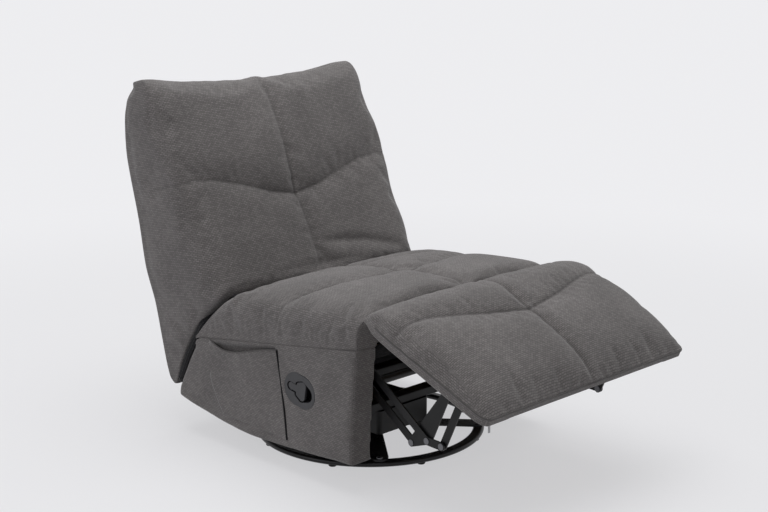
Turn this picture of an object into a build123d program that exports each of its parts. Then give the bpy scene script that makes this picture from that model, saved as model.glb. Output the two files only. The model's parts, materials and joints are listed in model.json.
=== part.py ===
"""Armless swivel recliner with a chaise legrest, in millimetres.

+Z is up, the chair faces -Y and the sitter's right hand is at -X. The legrest is out and
the back stands at its upright stop. Side views are drawn as (y, z), with y measured from
the swivel axis.
"""

import os
from math import cos, radians, sin, tan

from build123d import *

# Overall
HALF_WIDTH = 380.0
SWIVEL_Y = 95.4  # swivel axis behind the middle of the overall length
RUN = 0.1  # radial and end clearance of a running fit
SEAT_GAP = 0.3  # a soft piece to the piece that carries it

# Base ring and cross
RING_RADIUS = 297.0
RING_TUBE_WIDE = 30.0
RING_TUBE_HIGH = 15.0
RING_WALL = 2.0
GLIDE_HEIGHT = 5.0
GLIDE_RADIUS = 11.0
GLIDE_COUNT = 8
GLIDE_START = 71.5
ARM_WIDTH = 48.0
ARM_THICK = 5.0
ARM_SPREAD = 40.0  # arms lie this many degrees either side of the fore and aft line
ARM_BOLT_RADIUS = 4.0
ARM_BOLT_HEAD = 8.0
ARM_BOLT_HEAD_HIGH = 4.0

# Swivel
SWIVEL_RADIUS = 95.0
SWIVEL_PLATE = 4.0
RACE_RADIUS = 78.0
BALL_RADIUS = 4.0
BALL_COUNT = 16
RACE_GAP = 4.0  # between the two plates
KING_PIN_RADIUS = 8.0
KING_PIN_HEAD = 13.0
KING_PIN_HEAD_HIGH = 7.0

# Pedestal and cross bars
PEDESTAL_HALF_X = 95.0
PEDESTAL_HALF_Y = 130.0
PEDESTAL_HIGH = 63.0
SHEET = 3.0
BAR_Y = 105.0
BAR_DEEP = 40.0
BAR_HIGH = 25.0
BAR_WALL = 2.0

# Layers across the chair, as distances from the middle plane
SIDE_BUILD = 70.0  # plywood side and its padding together
BOARD_INNER = HALF_WIDTH - SIDE_BUILD
BOARD_THICK = 18.0
PLATE_THICK = 3.0
LINK_THICK = 4.0
LINK_GAP = 2.0
RIVET_HEAD = 1.5
RIVET_HEAD_RADIUS = 8.0
RIVET_RADIUS = 5.0
SPACER_RADIUS = 8.0
LINK_HALF = 10.0

# Body side, drawn as (y, z)
BODY_FRONT_TOP = (-337.0, 372.0)
BODY_FRONT_BOTTOM = (-312.0, 85.0)
BODY_BOTTOM_MIDDLE = (26.0, 64.0)
BODY_REAR_BOTTOM = (366.0, 108.0)
SEAM_DROP = 0.148  # fall of the seat seam for each millimetre towards the back
SIDE_ROUND = 14.0
RETURN_THICK = 17.0
BOARD_MARGIN = 9.0

# Legrest
HINGE = (-352.0, 455.0)
PAD_TILT = 22.0
PAD_LENGTH = 424.0
PAD_START = 6.5
PAD_BASE = -10.0
PAD_OVERHANG = 6.0  # beyond the body, each side
PAD_HALF = HALF_WIDTH + PAD_OVERHANG
ROLL_RADIUS = 6.0
FOOT_BOARD_INSET = 101.0
FOOT_BOARD_HALF = PAD_HALF - FOOT_BOARD_INSET
FOOT_BOARD_THICK = 15.0
FOOT_BOARD_START = 50.0
FOOT_BOARD_TOE = 24.0
FOOT_BOARD_END = PAD_LENGTH - FOOT_BOARD_TOE

# Legrest linkage at rest, as (y, z)
LOWER_PIVOT = (-235.0, 300.0)
LOWER_LINK = (-207.0, -147.0)  # from the lower pivot to the knee, and from hinge to bracket
UPPER_OFFSET = (-56.0, 20.0)  # from the lower pivot to the upper pivot
OUTER_OFFSET = (-46.0, -2.0)  # from the bracket's first pivot to its second
TUBE_ALONG = 60.0  # cross tube along the upper link
TUBE_RADIUS = 11.0
TUBE_WALL = 1.5
FLANGE_WIDE = 38.0

# Seat
SEAT_FRONT = -345.5
SEAT_REAR = 300.0
SEAT_CROSS_SEAM = -130.0
RAIL_DEEP = 40.0
FRONT_RAIL_HIGH = 24.0
REAR_RAIL_HIGH = 45.0
REAR_RAIL_Y = 200.0
STRAP_WIDE = 50.0
STRAP_THICK = 2.5
SEAT_STRAP_COUNT = 6

# Seat to back line, a curve through three points, and the back pivot
JUNCTION_TOP = (160.0, 410.0)
JUNCTION_MIDDLE = (272.0, 305.0)
JUNCTION_BOTTOM = (367.0, 142.0)
JUNCTION_HALF_GAP = 4.0
BACK_PIVOT = (396.0, 142.0)
KNUCKLE_RADIUS = 24.0
BACK_LEAN = 12.0
BACK_BOTTOM = 207.0
BACK_CROSS_SEAM = 437.0
BACK_TOP = 806.0
BACK_TOP_SAG = 26.0

# Back frame, along the back (v) and through it (t, rear positive)
FRAME_REAR = -14.0
FRAME_THICK = 25.0
FRAME_FROM = 36.0
FRAME_TO = 665.0
STILE_WIDE = 40.0
BACK_RAIL_WIDE = 45.0
BACK_ARM_THICK = 4.0
BACK_ARM_GAP = 6.0
BACK_ARM_RADIUS = 16.0
BACK_ARM_UP = 60.0
BACK_SWEEP = 35.0  # a little more than the back reclines

# Lever
LEVER_AT = (-137.0, 229.0)
LEVER_TILT = 10.0
CUP_LONG = 104.0
CUP_HIGH = 76.0
CUP_RIM = 4.0
CUP_RIM_THICK = 2.6
CUP_DEEP = 36.0
CUP_HOLLOW = 30.0
LEVER_PIVOT_X = -34.0
LEVER_PIN_RADIUS = 2.5
LEVER_PIN_HALF = 16.0
LEVER_THICK = 8.0
LEVER_SINK = 1.5
CABLE_RADIUS = 3.0

# Pocket on the sitter's right
POCKET_FRONT_TOP = (-48.0, 308.0)
POCKET_REAR_TOP = (200.0, 278.0)
POCKET_REAR_BOTTOM = (110.0, 100.0)
POCKET_FRONT_BOTTOM = (-70.0, 100.0)
POCKET_SAG = (90.0, 278.0)
POCKET_DEEP = 12.0
POCKET_CLOTH = 3.0

# Zip pull under the toe of the legrest
ZIP_INSET = 36.0
ZIP_BACK = 12.0
ZIP_X = ZIP_INSET - PAD_HALF
ZIP_ALONG = PAD_LENGTH - ZIP_BACK
ZIP_EYE_RADIUS = 2.2
ZIP_PIN_RADIUS = 1.0
ZIP_WIDE = 5.5
ZIP_LONG = 21.0

# Worked out from the values above
RIGHT = -1
LEFT = 1
SIDES = {"right": RIGHT, "left": LEFT}
PLATE_INNER = BOARD_INNER - PLATE_THICK
UPPER_LAYER = PLATE_INNER - LINK_GAP - LINK_THICK
FRONT_LAYER = UPPER_LAYER - LINK_GAP - LINK_THICK
LOWER_LAYER = FRONT_LAYER - LINK_GAP - LINK_THICK
BOARD_OUTER = BOARD_INNER + BOARD_THICK
RING_BOTTOM = GLIDE_HEIGHT
RING_TOP = RING_BOTTOM + RING_TUBE_HIGH
ARM_TOP = RING_TOP + ARM_THICK
RACE_Z = ARM_TOP + SWIVEL_PLATE + RACE_GAP / 2
UPPER_PLATE_Z = ARM_TOP + SWIVEL_PLATE + RACE_GAP
PEDESTAL_Z = UPPER_PLATE_Z + SWIVEL_PLATE
BAR_Z = PEDESTAL_Z + PEDESTAL_HIGH
BAR_MIDDLE = BAR_Z + BAR_HIGH / 2


def shift(point, step):
    """A (y, z) point moved by a step."""
    return (point[0] + step[0], point[1] + step[1])


UPPER_PIVOT = shift(LOWER_PIVOT, UPPER_OFFSET)
KNEE = shift(LOWER_PIVOT, LOWER_LINK)
KNEE_UPPER = shift(KNEE, UPPER_OFFSET)
KNEE_OUTER = shift(KNEE_UPPER, OUTER_OFFSET)
BRACKET_PIVOT = shift(HINGE, LOWER_LINK)
BRACKET_OUTER = shift(BRACKET_PIVOT, OUTER_OFFSET)


def seam_z(y):
    """Height of the sloping seam under the seat cushion."""
    return BODY_FRONT_TOP[1] - SEAM_DROP * (y - BODY_FRONT_TOP[0])


def side_plane(x):
    """Side view at x: sketch (y, z), extruded towards +X."""
    return Plane(origin=(x, SWIVEL_Y, 0), x_dir=(0, 1, 0), z_dir=(1, 0, 0))


def floor_plane(z):
    """Plan view about the swivel axis at height z."""
    return Plane(origin=(0, SWIVEL_Y, z))


def seat_plane(y):
    """Front view at y: sketch (x, z)."""
    return Plane(origin=(0, SWIVEL_Y + y, 0), x_dir=(1, 0, 0), z_dir=(0, -1, 0))


def pad_point(along, up):
    """Side view point of a place on the legrest, from its hinge."""
    tilt = radians(PAD_TILT)
    return shift(
        HINGE,
        (-along * cos(tilt) - up * sin(tilt), -along * sin(tilt) + up * cos(tilt)),
    )


def pad_plane(along):
    """Section across the legrest: sketch (x, up)."""
    tilt = radians(PAD_TILT)
    y, z = pad_point(along, 0)
    return Plane(
        origin=(0, SWIVEL_Y + y, z),
        x_dir=(1, 0, 0),
        z_dir=(0, -cos(tilt), -sin(tilt)),
    )


def pad_side_plane(x):
    """Side view of the legrest at x: sketch (along, up), extruded towards -X."""
    tilt = radians(PAD_TILT)
    return Plane(
        origin=(x, SWIVEL_Y + HINGE[0], HINGE[1]),
        x_dir=(0, -cos(tilt), -sin(tilt)),
        z_dir=(-1, 0, 0),
    )


def back_point(along, through):
    """Side view point of a place on the back, from its pivot."""
    lean = radians(BACK_LEAN)
    return shift(
        BACK_PIVOT,
        (
            along * sin(lean) + through * cos(lean),
            along * cos(lean) - through * sin(lean),
        ),
    )


def back_plane(along):
    """Section across the back: sketch (x, through)."""
    lean = radians(BACK_LEAN)
    y, z = back_point(along, 0)
    return Plane(
        origin=(0, SWIVEL_Y + y, z), x_dir=(1, 0, 0), z_dir=(0, sin(lean), cos(lean))
    )


def back_face_plane(through):
    """Face view of the back at a depth: sketch (x, along), extruded forwards."""
    lean = radians(BACK_LEAN)
    y, z = back_point(0, through)
    return Plane(
        origin=(0, SWIVEL_Y + y, z), x_dir=(1, 0, 0), z_dir=(0, -cos(lean), sin(lean))
    )


def lever_plane(out):
    """Face of the lever cup: sketch (towards the front, up), extruded outwards."""
    tilt = radians(LEVER_TILT)
    return Plane(
        origin=(-HALF_WIDTH - out, SWIVEL_Y + LEVER_AT[0], LEVER_AT[1]),
        x_dir=(0, -cos(tilt), -sin(tilt)),
        z_dir=(-1, 0, 0),
    )


def write(piece, node):
    """Label a finished piece and write it to its own file."""
    piece.part.label = node
    export_step(piece.part, f"parts/{node}.step")


os.makedirs("parts", exist_ok=True)


# Base ring, a flat oval tube
with BuildPart() as base_ring:
    with BuildSketch(Plane.XZ.offset(-SWIVEL_Y)):
        with Locations((RING_RADIUS, RING_BOTTOM + RING_TUBE_HIGH / 2)):
            SlotOverall(RING_TUBE_WIDE, RING_TUBE_HIGH)
            SlotOverall(
                RING_TUBE_WIDE - 2 * RING_WALL,
                RING_TUBE_HIGH - 2 * RING_WALL,
                mode=Mode.SUBTRACT,
            )
    revolve(axis=Axis((0, SWIVEL_Y, 0), (0, 0, 1)))
    with BuildSketch(floor_plane(RING_TOP - RING_TUBE_HIGH / 2)):
        for angle in (ARM_SPREAD, -ARM_SPREAD):
            with PolarLocations(RING_RADIUS, 2, start_angle=90 + angle):
                Circle(ARM_BOLT_RADIUS + RUN)
    extrude(amount=RING_TUBE_HIGH, mode=Mode.SUBTRACT)
write(base_ring, "base_ring")

# Two flat arms lie on the ring and cross at a round centre
with BuildPart() as base_cross:
    with BuildSketch(floor_plane(RING_TOP)):
        Circle(SWIVEL_RADIUS)
        for angle in (ARM_SPREAD, -ARM_SPREAD):
            SlotCenterToCenter(2 * RING_RADIUS - ARM_WIDTH / 2, ARM_WIDTH, rotation=90 + angle)
            with PolarLocations(RING_RADIUS, 2, start_angle=90 + angle):
                Circle(ARM_BOLT_RADIUS + RUN, mode=Mode.SUBTRACT)
        Circle(KING_PIN_RADIUS + RUN, mode=Mode.SUBTRACT)
    extrude(amount=ARM_THICK)
write(base_cross, "base_cross")

with BuildPart() as base_glides:
    with BuildSketch(floor_plane(0)):
        with PolarLocations(RING_RADIUS, GLIDE_COUNT, start_angle=GLIDE_START):
            Circle(GLIDE_RADIUS)
    extrude(amount=GLIDE_HEIGHT)
    chamfer(base_glides.edges().group_by(Axis.Z)[0], GLIDE_HEIGHT / 3)
write(base_glides, "base_glides")

with BuildPart() as base_bolts:
    for angle in (ARM_SPREAD, -ARM_SPREAD):
        with BuildSketch(floor_plane(ARM_TOP)):
            with PolarLocations(RING_RADIUS, 2, start_angle=90 + angle):
                Circle(ARM_BOLT_HEAD)
        extrude(amount=ARM_BOLT_HEAD_HIGH)
        with BuildSketch(floor_plane(RING_TOP - 2 * RING_WALL)):
            with PolarLocations(RING_RADIUS, 2, start_angle=90 + angle):
                Circle(ARM_BOLT_RADIUS)
        extrude(amount=ARM_THICK + 2 * RING_WALL)
    fillet(base_bolts.edges().group_by(Axis.Z)[-1], ARM_BOLT_HEAD_HIGH / 2)
write(base_bolts, "base_bolts")


def race_plate(bottom):
    """One swivel plate with half of the ball race in it."""
    with BuildPart() as plate:
        with BuildSketch(floor_plane(bottom)):
            Circle(SWIVEL_RADIUS)
            Circle(KING_PIN_RADIUS + RUN, mode=Mode.SUBTRACT)
        extrude(amount=SWIVEL_PLATE)
        with BuildSketch(Plane.XZ.offset(-SWIVEL_Y)):
            with Locations((RACE_RADIUS, RACE_Z)):
                Circle(BALL_RADIUS + RUN)
        revolve(axis=Axis((0, SWIVEL_Y, 0), (0, 0, 1)), mode=Mode.SUBTRACT)
    return plate


write(race_plate(ARM_TOP), "swivel_lower_plate")
write(race_plate(UPPER_PLATE_Z), "swivel_upper_plate")

with BuildPart() as swivel_balls:
    with Locations(floor_plane(RACE_Z)):
        with PolarLocations(RACE_RADIUS, BALL_COUNT):
            Sphere(BALL_RADIUS)
write(swivel_balls, "swivel_balls")

# The king pin holds the two plates together
with BuildPart() as king_pin:
    with BuildSketch(floor_plane(RING_TOP - KING_PIN_HEAD_HIGH)):
        Circle(KING_PIN_HEAD)
    extrude(amount=KING_PIN_HEAD_HIGH)
    with BuildSketch(floor_plane(RING_TOP)):
        Circle(KING_PIN_RADIUS)
    extrude(amount=PEDESTAL_Z + SHEET + RUN - RING_TOP)
    with BuildSketch(floor_plane(PEDESTAL_Z + SHEET + RUN)):
        Circle(KING_PIN_HEAD)
    extrude(amount=KING_PIN_HEAD_HIGH)
write(king_pin, "king_pin")

# Pedestal, a folded sheet box, open at the top
with BuildPart() as pedestal_box:
    with BuildSketch(floor_plane(PEDESTAL_Z)):
        RectangleRounded(2 * PEDESTAL_HALF_X, 2 * PEDESTAL_HALF_Y, 4 * SHEET)
    extrude(amount=PEDESTAL_HIGH)
    offset(amount=-SHEET, openings=pedestal_box.faces().sort_by(Axis.Z)[-1])
    with BuildSketch(floor_plane(PEDESTAL_Z)):
        Circle(KING_PIN_RADIUS + RUN)
    extrude(amount=SHEET, mode=Mode.SUBTRACT)
write(pedestal_box, "pedestal_box")

# Cross bars, rectangular tubes from side plate to side plate
for place, bar_y in (("front", -BAR_Y), ("rear", BAR_Y)):
    with BuildPart() as cross_bar:
        with BuildSketch(side_plane(-PLATE_INNER)):
            with Locations((bar_y, BAR_MIDDLE)):
                RectangleRounded(BAR_DEEP, BAR_HIGH, 2 * BAR_WALL)
                Rectangle(BAR_DEEP - 2 * BAR_WALL, BAR_HIGH - 2 * BAR_WALL, mode=Mode.SUBTRACT)
        extrude(amount=2 * PLATE_INNER)
    write(cross_bar, f"{place}_cross_bar")

# Side plates, stamped steel: an upright for the legrest pivots and an arm for the back
PLATE_FOOT = (-BAR_Y, BAR_MIDDLE)
PLATE_HEEL = (BAR_Y, BAR_MIDDLE)
PLATE_ELBOW = (255.0, 126.0)
FRAME_BOLTS = ((0.0, BAR_MIDDLE), (180.0, 119.0), PLATE_ELBOW)
PLATE_HALF = 28.0
BOLT_RADIUS = 4.0
BOLT_HEAD = 7.0
BOLT_HEAD_HIGH = 4.0
BOLT_GRIP = 12.0  # length in the plywood

for name, side in SIDES.items():
    with BuildPart() as side_plate:
        for chain, half in (
            ((UPPER_PIVOT, LOWER_PIVOT, PLATE_FOOT), 1.6 * LINK_HALF),
            ((PLATE_FOOT, PLATE_HEEL, PLATE_ELBOW), PLATE_HALF),
            ((PLATE_ELBOW, BACK_PIVOT), 1.6 * LINK_HALF),
        ):
            with BuildSketch(side_plane(side * PLATE_INNER)):
                with Locations(*chain):
                    Circle(half)
                make_hull()
            extrude(amount=side * PLATE_THICK)
        with BuildSketch(side_plane(side * PLATE_INNER)):
            with Locations(LOWER_PIVOT, UPPER_PIVOT, BACK_PIVOT):
                Circle(RIVET_RADIUS + RUN)
            with Locations(*FRAME_BOLTS):
                Circle(BOLT_RADIUS + RUN)
        extrude(amount=side * PLATE_THICK, mode=Mode.SUBTRACT)
    write(side_plate, f"side_plate_{name}")

with BuildPart() as frame_bolts:
    for side in SIDES.values():
        with BuildSketch(side_plane(side * PLATE_INNER)):
            with Locations(*FRAME_BOLTS):
                Circle(BOLT_HEAD)
        extrude(amount=-side * BOLT_HEAD_HIGH)
        with BuildSketch(side_plane(side * PLATE_INNER)):
            with Locations(*FRAME_BOLTS):
                Circle(BOLT_RADIUS)
        extrude(amount=side * (PLATE_THICK + BOLT_GRIP))
write(frame_bolts, "frame_bolts")


def back_zone(gap):
    """The room behind the seat to back line, kept clear by the given gap."""
    top = shift(JUNCTION_TOP, (-gap, -gap / 2))
    middle = shift(JUNCTION_MIDDLE, (-gap * 0.75, -gap * 0.66))
    bottom = shift(JUNCTION_BOTTOM, (-gap, -gap / 2))
    reach = BACK_PIVOT[0] + HALF_WIDTH
    with BuildPart() as zone:
        with BuildSketch(side_plane(-HALF_WIDTH - SHEET)):
            with BuildLine():
                Line((top[0], top[1] + HALF_WIDTH), top)
                ThreePointArc(top, middle, bottom)
                Polyline(
                    bottom,
                    (bottom[0], 0),
                    (reach, 0),
                    (reach, top[1] + HALF_WIDTH),
                    (top[0], top[1] + HALF_WIDTH),
                )
            make_face()
        extrude(amount=2 * (HALF_WIDTH + SHEET))
    return zone.part


SEAT_LIMIT = back_zone(JUNCTION_HALF_GAP)


def body_outline(front, lift, drop):
    """Corners of a body side, drawn in by a front step, a lift and a drop at the top."""
    front_top = (BODY_FRONT_TOP[0] + front, seam_z(BODY_FRONT_TOP[0] + front) - drop)
    front_bottom = (BODY_FRONT_BOTTOM[0] + front, BODY_FRONT_BOTTOM[1] + lift)
    rear_bottom = (BODY_REAR_BOTTOM[0] - front, BODY_REAR_BOTTOM[1] + lift)
    bottom = (BODY_BOTTOM_MIDDLE[0], BODY_BOTTOM_MIDDLE[1] + lift)
    return front_top, front_bottom, bottom, rear_bottom


# Plywood sides
for name, side in SIDES.items():
    top, low, bottom, rear = body_outline(RETURN_THICK + SEAT_GAP, BOARD_MARGIN, SEAT_GAP)
    rear_top_y = JUNCTION_MIDDLE[0] - 2 * BOARD_MARGIN
    with BuildPart() as side_board:
        with BuildSketch(side_plane(side * BOARD_INNER)):
            with BuildLine():
                Line(top, low)
                ThreePointArc(low, bottom, rear)
                Polyline(rear, (rear_top_y, seam_z(rear_top_y) - SEAT_GAP), top)
            make_face()
            with Locations(*FRAME_BOLTS):
                Circle(BOLT_RADIUS + RUN, mode=Mode.SUBTRACT)
            if side == RIGHT:
                with Locations(LEVER_AT):
                    Circle(CABLE_RADIUS + SEAT_GAP, mode=Mode.SUBTRACT)
        extrude(amount=side * BOARD_THICK)
    write(side_board, f"side_board_{name}")

# Padded sides with a return round the front edge. The right one holds the lever cup and pocket
for name, side in SIDES.items():
    top, low, bottom, rear = body_outline(0, 0, SEAT_GAP)
    far_rear = (BACK_PIVOT[0], rear[1])
    with BuildPart() as side_pad:
        with BuildSketch(side_plane(side * (BOARD_OUTER + SEAT_GAP))):
            with BuildLine():
                Line(top, low)
                ThreePointArc(low, bottom, rear)
                Polyline(rear, far_rear, (far_rear[0], seam_z(far_rear[0]) - SEAT_GAP), top)
            make_face()
        extrude(amount=side * (HALF_WIDTH - BOARD_OUTER - SEAT_GAP))
        add(SEAT_LIMIT, mode=Mode.SUBTRACT)
        fillet(side_pad.faces().sort_by(Axis.X)[0 if side == RIGHT else -1].edges(), SIDE_ROUND)
        with BuildSketch(side_plane(side * (BOARD_INNER + SEAT_GAP))):
            Polygon(
                top,
                low,
                shift(low, (RETURN_THICK, 0)),
                shift(top, (RETURN_THICK, -SEAM_DROP * RETURN_THICK)),
                align=None,
            )
        extrude(amount=side * (BOARD_THICK + SHEET))
        if side == RIGHT:
            with BuildSketch(lever_plane(-HALF_WIDTH / 4)):
                SlotOverall(CUP_LONG + 2 * SEAT_GAP, CUP_HIGH + 2 * SEAT_GAP)
            extrude(amount=HALF_WIDTH / 2, mode=Mode.SUBTRACT)
            with BuildSketch(lever_plane(-CUP_RIM_THICK - SEAT_GAP)):
                SlotOverall(
                    CUP_LONG + 2 * CUP_RIM + 2 * SEAT_GAP, CUP_HIGH + 2 * CUP_RIM + 2 * SEAT_GAP
                )
            extrude(amount=HALF_WIDTH / 4, mode=Mode.SUBTRACT)
            with BuildSketch(side_plane(-HALF_WIDTH + POCKET_DEEP)):
                Polygon(
                    shift(POCKET_FRONT_TOP, (0, POCKET_DEEP * 8)),
                    POCKET_FRONT_TOP,
                    POCKET_FRONT_BOTTOM,
                    POCKET_REAR_BOTTOM,
                    POCKET_REAR_TOP,
                    shift(POCKET_REAR_TOP, (0, POCKET_DEEP * 8)),
                    align=None,
                )
            extrude(amount=-HALF_WIDTH / 4, mode=Mode.SUBTRACT)
    write(side_pad, f"side_pad_{name}")

# Pocket cloth over the hollow, sagging at its mouth
with BuildPart() as side_pocket:
    with BuildSketch(side_plane(-HALF_WIDTH + POCKET_CLOTH)):
        with BuildLine():
            ThreePointArc(POCKET_FRONT_TOP, POCKET_SAG, POCKET_REAR_TOP)
            Polyline(POCKET_REAR_TOP, POCKET_REAR_BOTTOM, POCKET_FRONT_BOTTOM, POCKET_FRONT_TOP)
        make_face()
        offset(amount=-SEAT_GAP, mode=Mode.REPLACE)
    extrude(amount=-POCKET_CLOTH)
write(side_pocket, "side_pocket")


# Seat rails and webbing under the seam
def seat_rail(front, high):
    """A timber rail across the seat, its top on the slope of the seam."""
    rear = front + RAIL_DEEP
    drop = STRAP_THICK + 2 * SEAT_GAP
    foot = seam_z(rear) - drop - high
    with BuildPart() as rail:
        with BuildSketch(side_plane(-BOARD_INNER + SEAT_GAP)):
            Polygon(
                (front, foot),
                (rear, foot),
                (rear, seam_z(rear) - drop),
                (front, seam_z(front) - drop),
                align=None,
            )
        extrude(amount=2 * (BOARD_INNER - SEAT_GAP))
    return rail


FRONT_RAIL_Y = BODY_FRONT_TOP[0] + RETURN_THICK
write(seat_rail(FRONT_RAIL_Y, FRONT_RAIL_HIGH), "seat_front_rail")
write(seat_rail(REAR_RAIL_Y, REAR_RAIL_HIGH), "seat_rear_rail")

with BuildPart() as seat_webbing:
    strap_from = FRONT_RAIL_Y + SEAT_GAP
    strap_to = REAR_RAIL_Y + RAIL_DEEP - SEAT_GAP
    step = 2 * BOARD_INNER / SEAT_STRAP_COUNT
    for strap in range(SEAT_STRAP_COUNT):
        left_edge = -BOARD_INNER + (strap + 0.5) * step - STRAP_WIDE / 2
        with BuildSketch(side_plane(left_edge)):
            Polygon(
                (strap_from, seam_z(strap_from) - SEAT_GAP),
                (strap_to, seam_z(strap_to) - SEAT_GAP),
                (strap_to, seam_z(strap_to) - SEAT_GAP - STRAP_THICK),
                (strap_from, seam_z(strap_from) - SEAT_GAP - STRAP_THICK),
                align=None,
            )
        extrude(amount=STRAP_WIDE)
write(seat_webbing, "seat_webbing")


def padded_section(plane, half, base, mid, shoulder, crown, valley):
    """Section of a padded seat: flat base, bulging sides, two crowns and a sewn valley.

    half holds the half widths at the base, the bulge and the shoulder.
    """
    base_half, bulge_half, top_half = half
    with BuildSketch(plane) as section:
        with BuildLine():
            Line((-base_half, base), (base_half, base))
            ThreePointArc((base_half, base), (bulge_half, mid), (top_half, shoulder))
            ThreePointArc((top_half, shoulder), (top_half / 2, crown), (0, valley))
            ThreePointArc((0, valley), (-top_half / 2, crown), (-top_half, shoulder))
            ThreePointArc((-top_half, shoulder), (-bulge_half, mid), (-base_half, base))
        make_face()
    return section.sketch


# Seat cushion: two padded lobes that meet at the cross seam
SEAT_HALF = (HALF_WIDTH - 12.0, HALF_WIDTH - 1.0, HALF_WIDTH - 78.0)
SEAT_BULGE_UP = 38.0
SEAT_STATIONS = (  # y, shoulder, crown, valley
    (SEAT_FRONT, 446.0, 460.0, 456.0),
    (-235.0, 454.0, 472.0, 459.0),
    (SEAT_CROSS_SEAM, 445.0, 457.0, 443.0),
    (20.0, 448.0, 466.0, 450.0),
    (SEAT_REAR, 330.0, 345.0, 336.0),
)
seat_sections = [
    padded_section(
        seat_plane(y), SEAT_HALF, seam_z(y), seam_z(y) + SEAT_BULGE_UP, shoulder, crown, valley
    )
    for y, shoulder, crown, valley in SEAT_STATIONS
]
NOSE_CLEAR = 3.0  # seat front to the board of the folded legrest
NOSE_STEP = HINGE[0] - PAD_BASE + SEAT_GAP + FOOT_BOARD_THICK + NOSE_CLEAR - SEAT_FRONT
NOSE_DROP = 30.0

with BuildPart() as seat_cushion:
    loft(sections=seat_sections[:3])
    loft(sections=seat_sections[2:])
    add(SEAT_LIMIT, mode=Mode.SUBTRACT)
    with BuildSketch(side_plane(-HALF_WIDTH)):
        Polygon(
            (SEAT_FRONT - NOSE_STEP, HINGE[1] - ROLL_RADIUS),
            (SEAT_FRONT, HINGE[1] - ROLL_RADIUS),
            (SEAT_FRONT + NOSE_STEP, HINGE[1] - NOSE_DROP),
            (SEAT_FRONT + NOSE_STEP, BODY_FRONT_TOP[1] - NOSE_DROP),
            (SEAT_FRONT - NOSE_STEP, BODY_FRONT_TOP[1] - NOSE_DROP),
            align=None,
        )
    extrude(amount=2 * HALF_WIDTH, mode=Mode.SUBTRACT)
write(seat_cushion, "seat_cushion")

# Sewn roll at the seam that the legrest swings from
with BuildPart() as seam_roll:
    with BuildSketch(side_plane(-SEAT_HALF[2])):
        with Locations(HINGE):
            Circle(ROLL_RADIUS)
    extrude(amount=2 * SEAT_HALF[2])
write(seam_roll, "seam_roll")


def pivot_solids(point, shank, collar, heads):
    """A shouldered rivet on both sides: shank, collar and head spans from the middle."""
    for side in SIDES.values():
        spans = [(shank, RIVET_RADIUS), (collar, SPACER_RADIUS)]
        spans += [(head, RIVET_HEAD_RADIUS) for head in heads]
        with BuildPart(mode=Mode.PRIVATE) as rivet:
            for (near, far), radius in spans:
                with BuildSketch(side_plane(side * near)):
                    with Locations(point):
                        Circle(radius)
                extrude(amount=side * (far - near))
        yield rivet.part


def layer_pivot(point, inner, outer, outer_head=True):
    """A rivet through two layers, given by the inner faces of each."""
    outer_face = outer + LINK_THICK
    heads = [(inner - RUN - RIVET_HEAD, inner - RUN)]
    if outer_head:
        heads.append((outer_face + RUN, outer_face + RUN + RIVET_HEAD))
    else:
        outer_face = BOARD_INNER - RUN
    shank = (inner - RUN, outer_face + RUN)
    collar = (inner + LINK_THICK + RUN, outer - RUN)
    return pivot_solids(point, shank, collar, heads)


def group(solids):
    """Several separate solids in one node."""
    with BuildPart() as pieces:
        for solid in solids:
            add(solid)
    return pieces


BACK_ARM_LAYER = PLATE_INNER - BACK_ARM_GAP - BACK_ARM_THICK
write(
    group(
        [
            *layer_pivot(LOWER_PIVOT, LOWER_LAYER, PLATE_INNER, outer_head=False),
            *layer_pivot(UPPER_PIVOT, UPPER_LAYER, PLATE_INNER, outer_head=False),
            *layer_pivot(BACK_PIVOT, BACK_ARM_LAYER, PLATE_INNER, outer_head=False),
        ]
    ),
    "pivot_pins",
)
write(
    group(
        [
            *layer_pivot(KNEE, LOWER_LAYER, FRONT_LAYER),
            *layer_pivot(KNEE_UPPER, FRONT_LAYER, UPPER_LAYER),
        ]
    ),
    "front_link_pins",
)
write(group(layer_pivot(KNEE_OUTER, FRONT_LAYER, UPPER_LAYER)), "outer_link_pins")
write(
    group(
        [
            *layer_pivot(BRACKET_PIVOT, LOWER_LAYER, FRONT_LAYER),
            *layer_pivot(BRACKET_OUTER, LOWER_LAYER, FRONT_LAYER),
        ]
    ),
    "bracket_pins",
)


def link(side, layer, chains, holes):
    """A flat link of rounded stretches with its pivot holes."""
    with BuildPart() as bar:
        for chain in chains:
            with BuildSketch(side_plane(side * layer)):
                with Locations(*chain):
                    Circle(LINK_HALF)
                make_hull()
            extrude(amount=side * LINK_THICK)
        with BuildSketch(side_plane(side * layer)):
            with Locations(*holes):
                Circle(RIVET_RADIUS + RUN)
        extrude(amount=side * LINK_THICK, mode=Mode.SUBTRACT)
    return bar


for name, side in SIDES.items():
    write(
        link(side, LOWER_LAYER, [(LOWER_PIVOT, KNEE)], [LOWER_PIVOT, KNEE]),
        f"lower_link_{name}",
    )
    write(
        link(
            side,
            UPPER_LAYER,
            [(UPPER_PIVOT, KNEE_UPPER), (KNEE_UPPER, KNEE_OUTER)],
            [UPPER_PIVOT, KNEE_UPPER, KNEE_OUTER],
        ),
        f"upper_link_{name}",
    )
    write(
        link(
            side,
            FRONT_LAYER,
            [(KNEE, KNEE_UPPER, BRACKET_PIVOT)],
            [KNEE, KNEE_UPPER, BRACKET_PIVOT],
        ),
        f"front_link_{name}",
    )
    write(
        link(side, FRONT_LAYER, [(KNEE_OUTER, BRACKET_OUTER)], [KNEE_OUTER, BRACKET_OUTER]),
        f"outer_link_{name}",
    )

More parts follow.
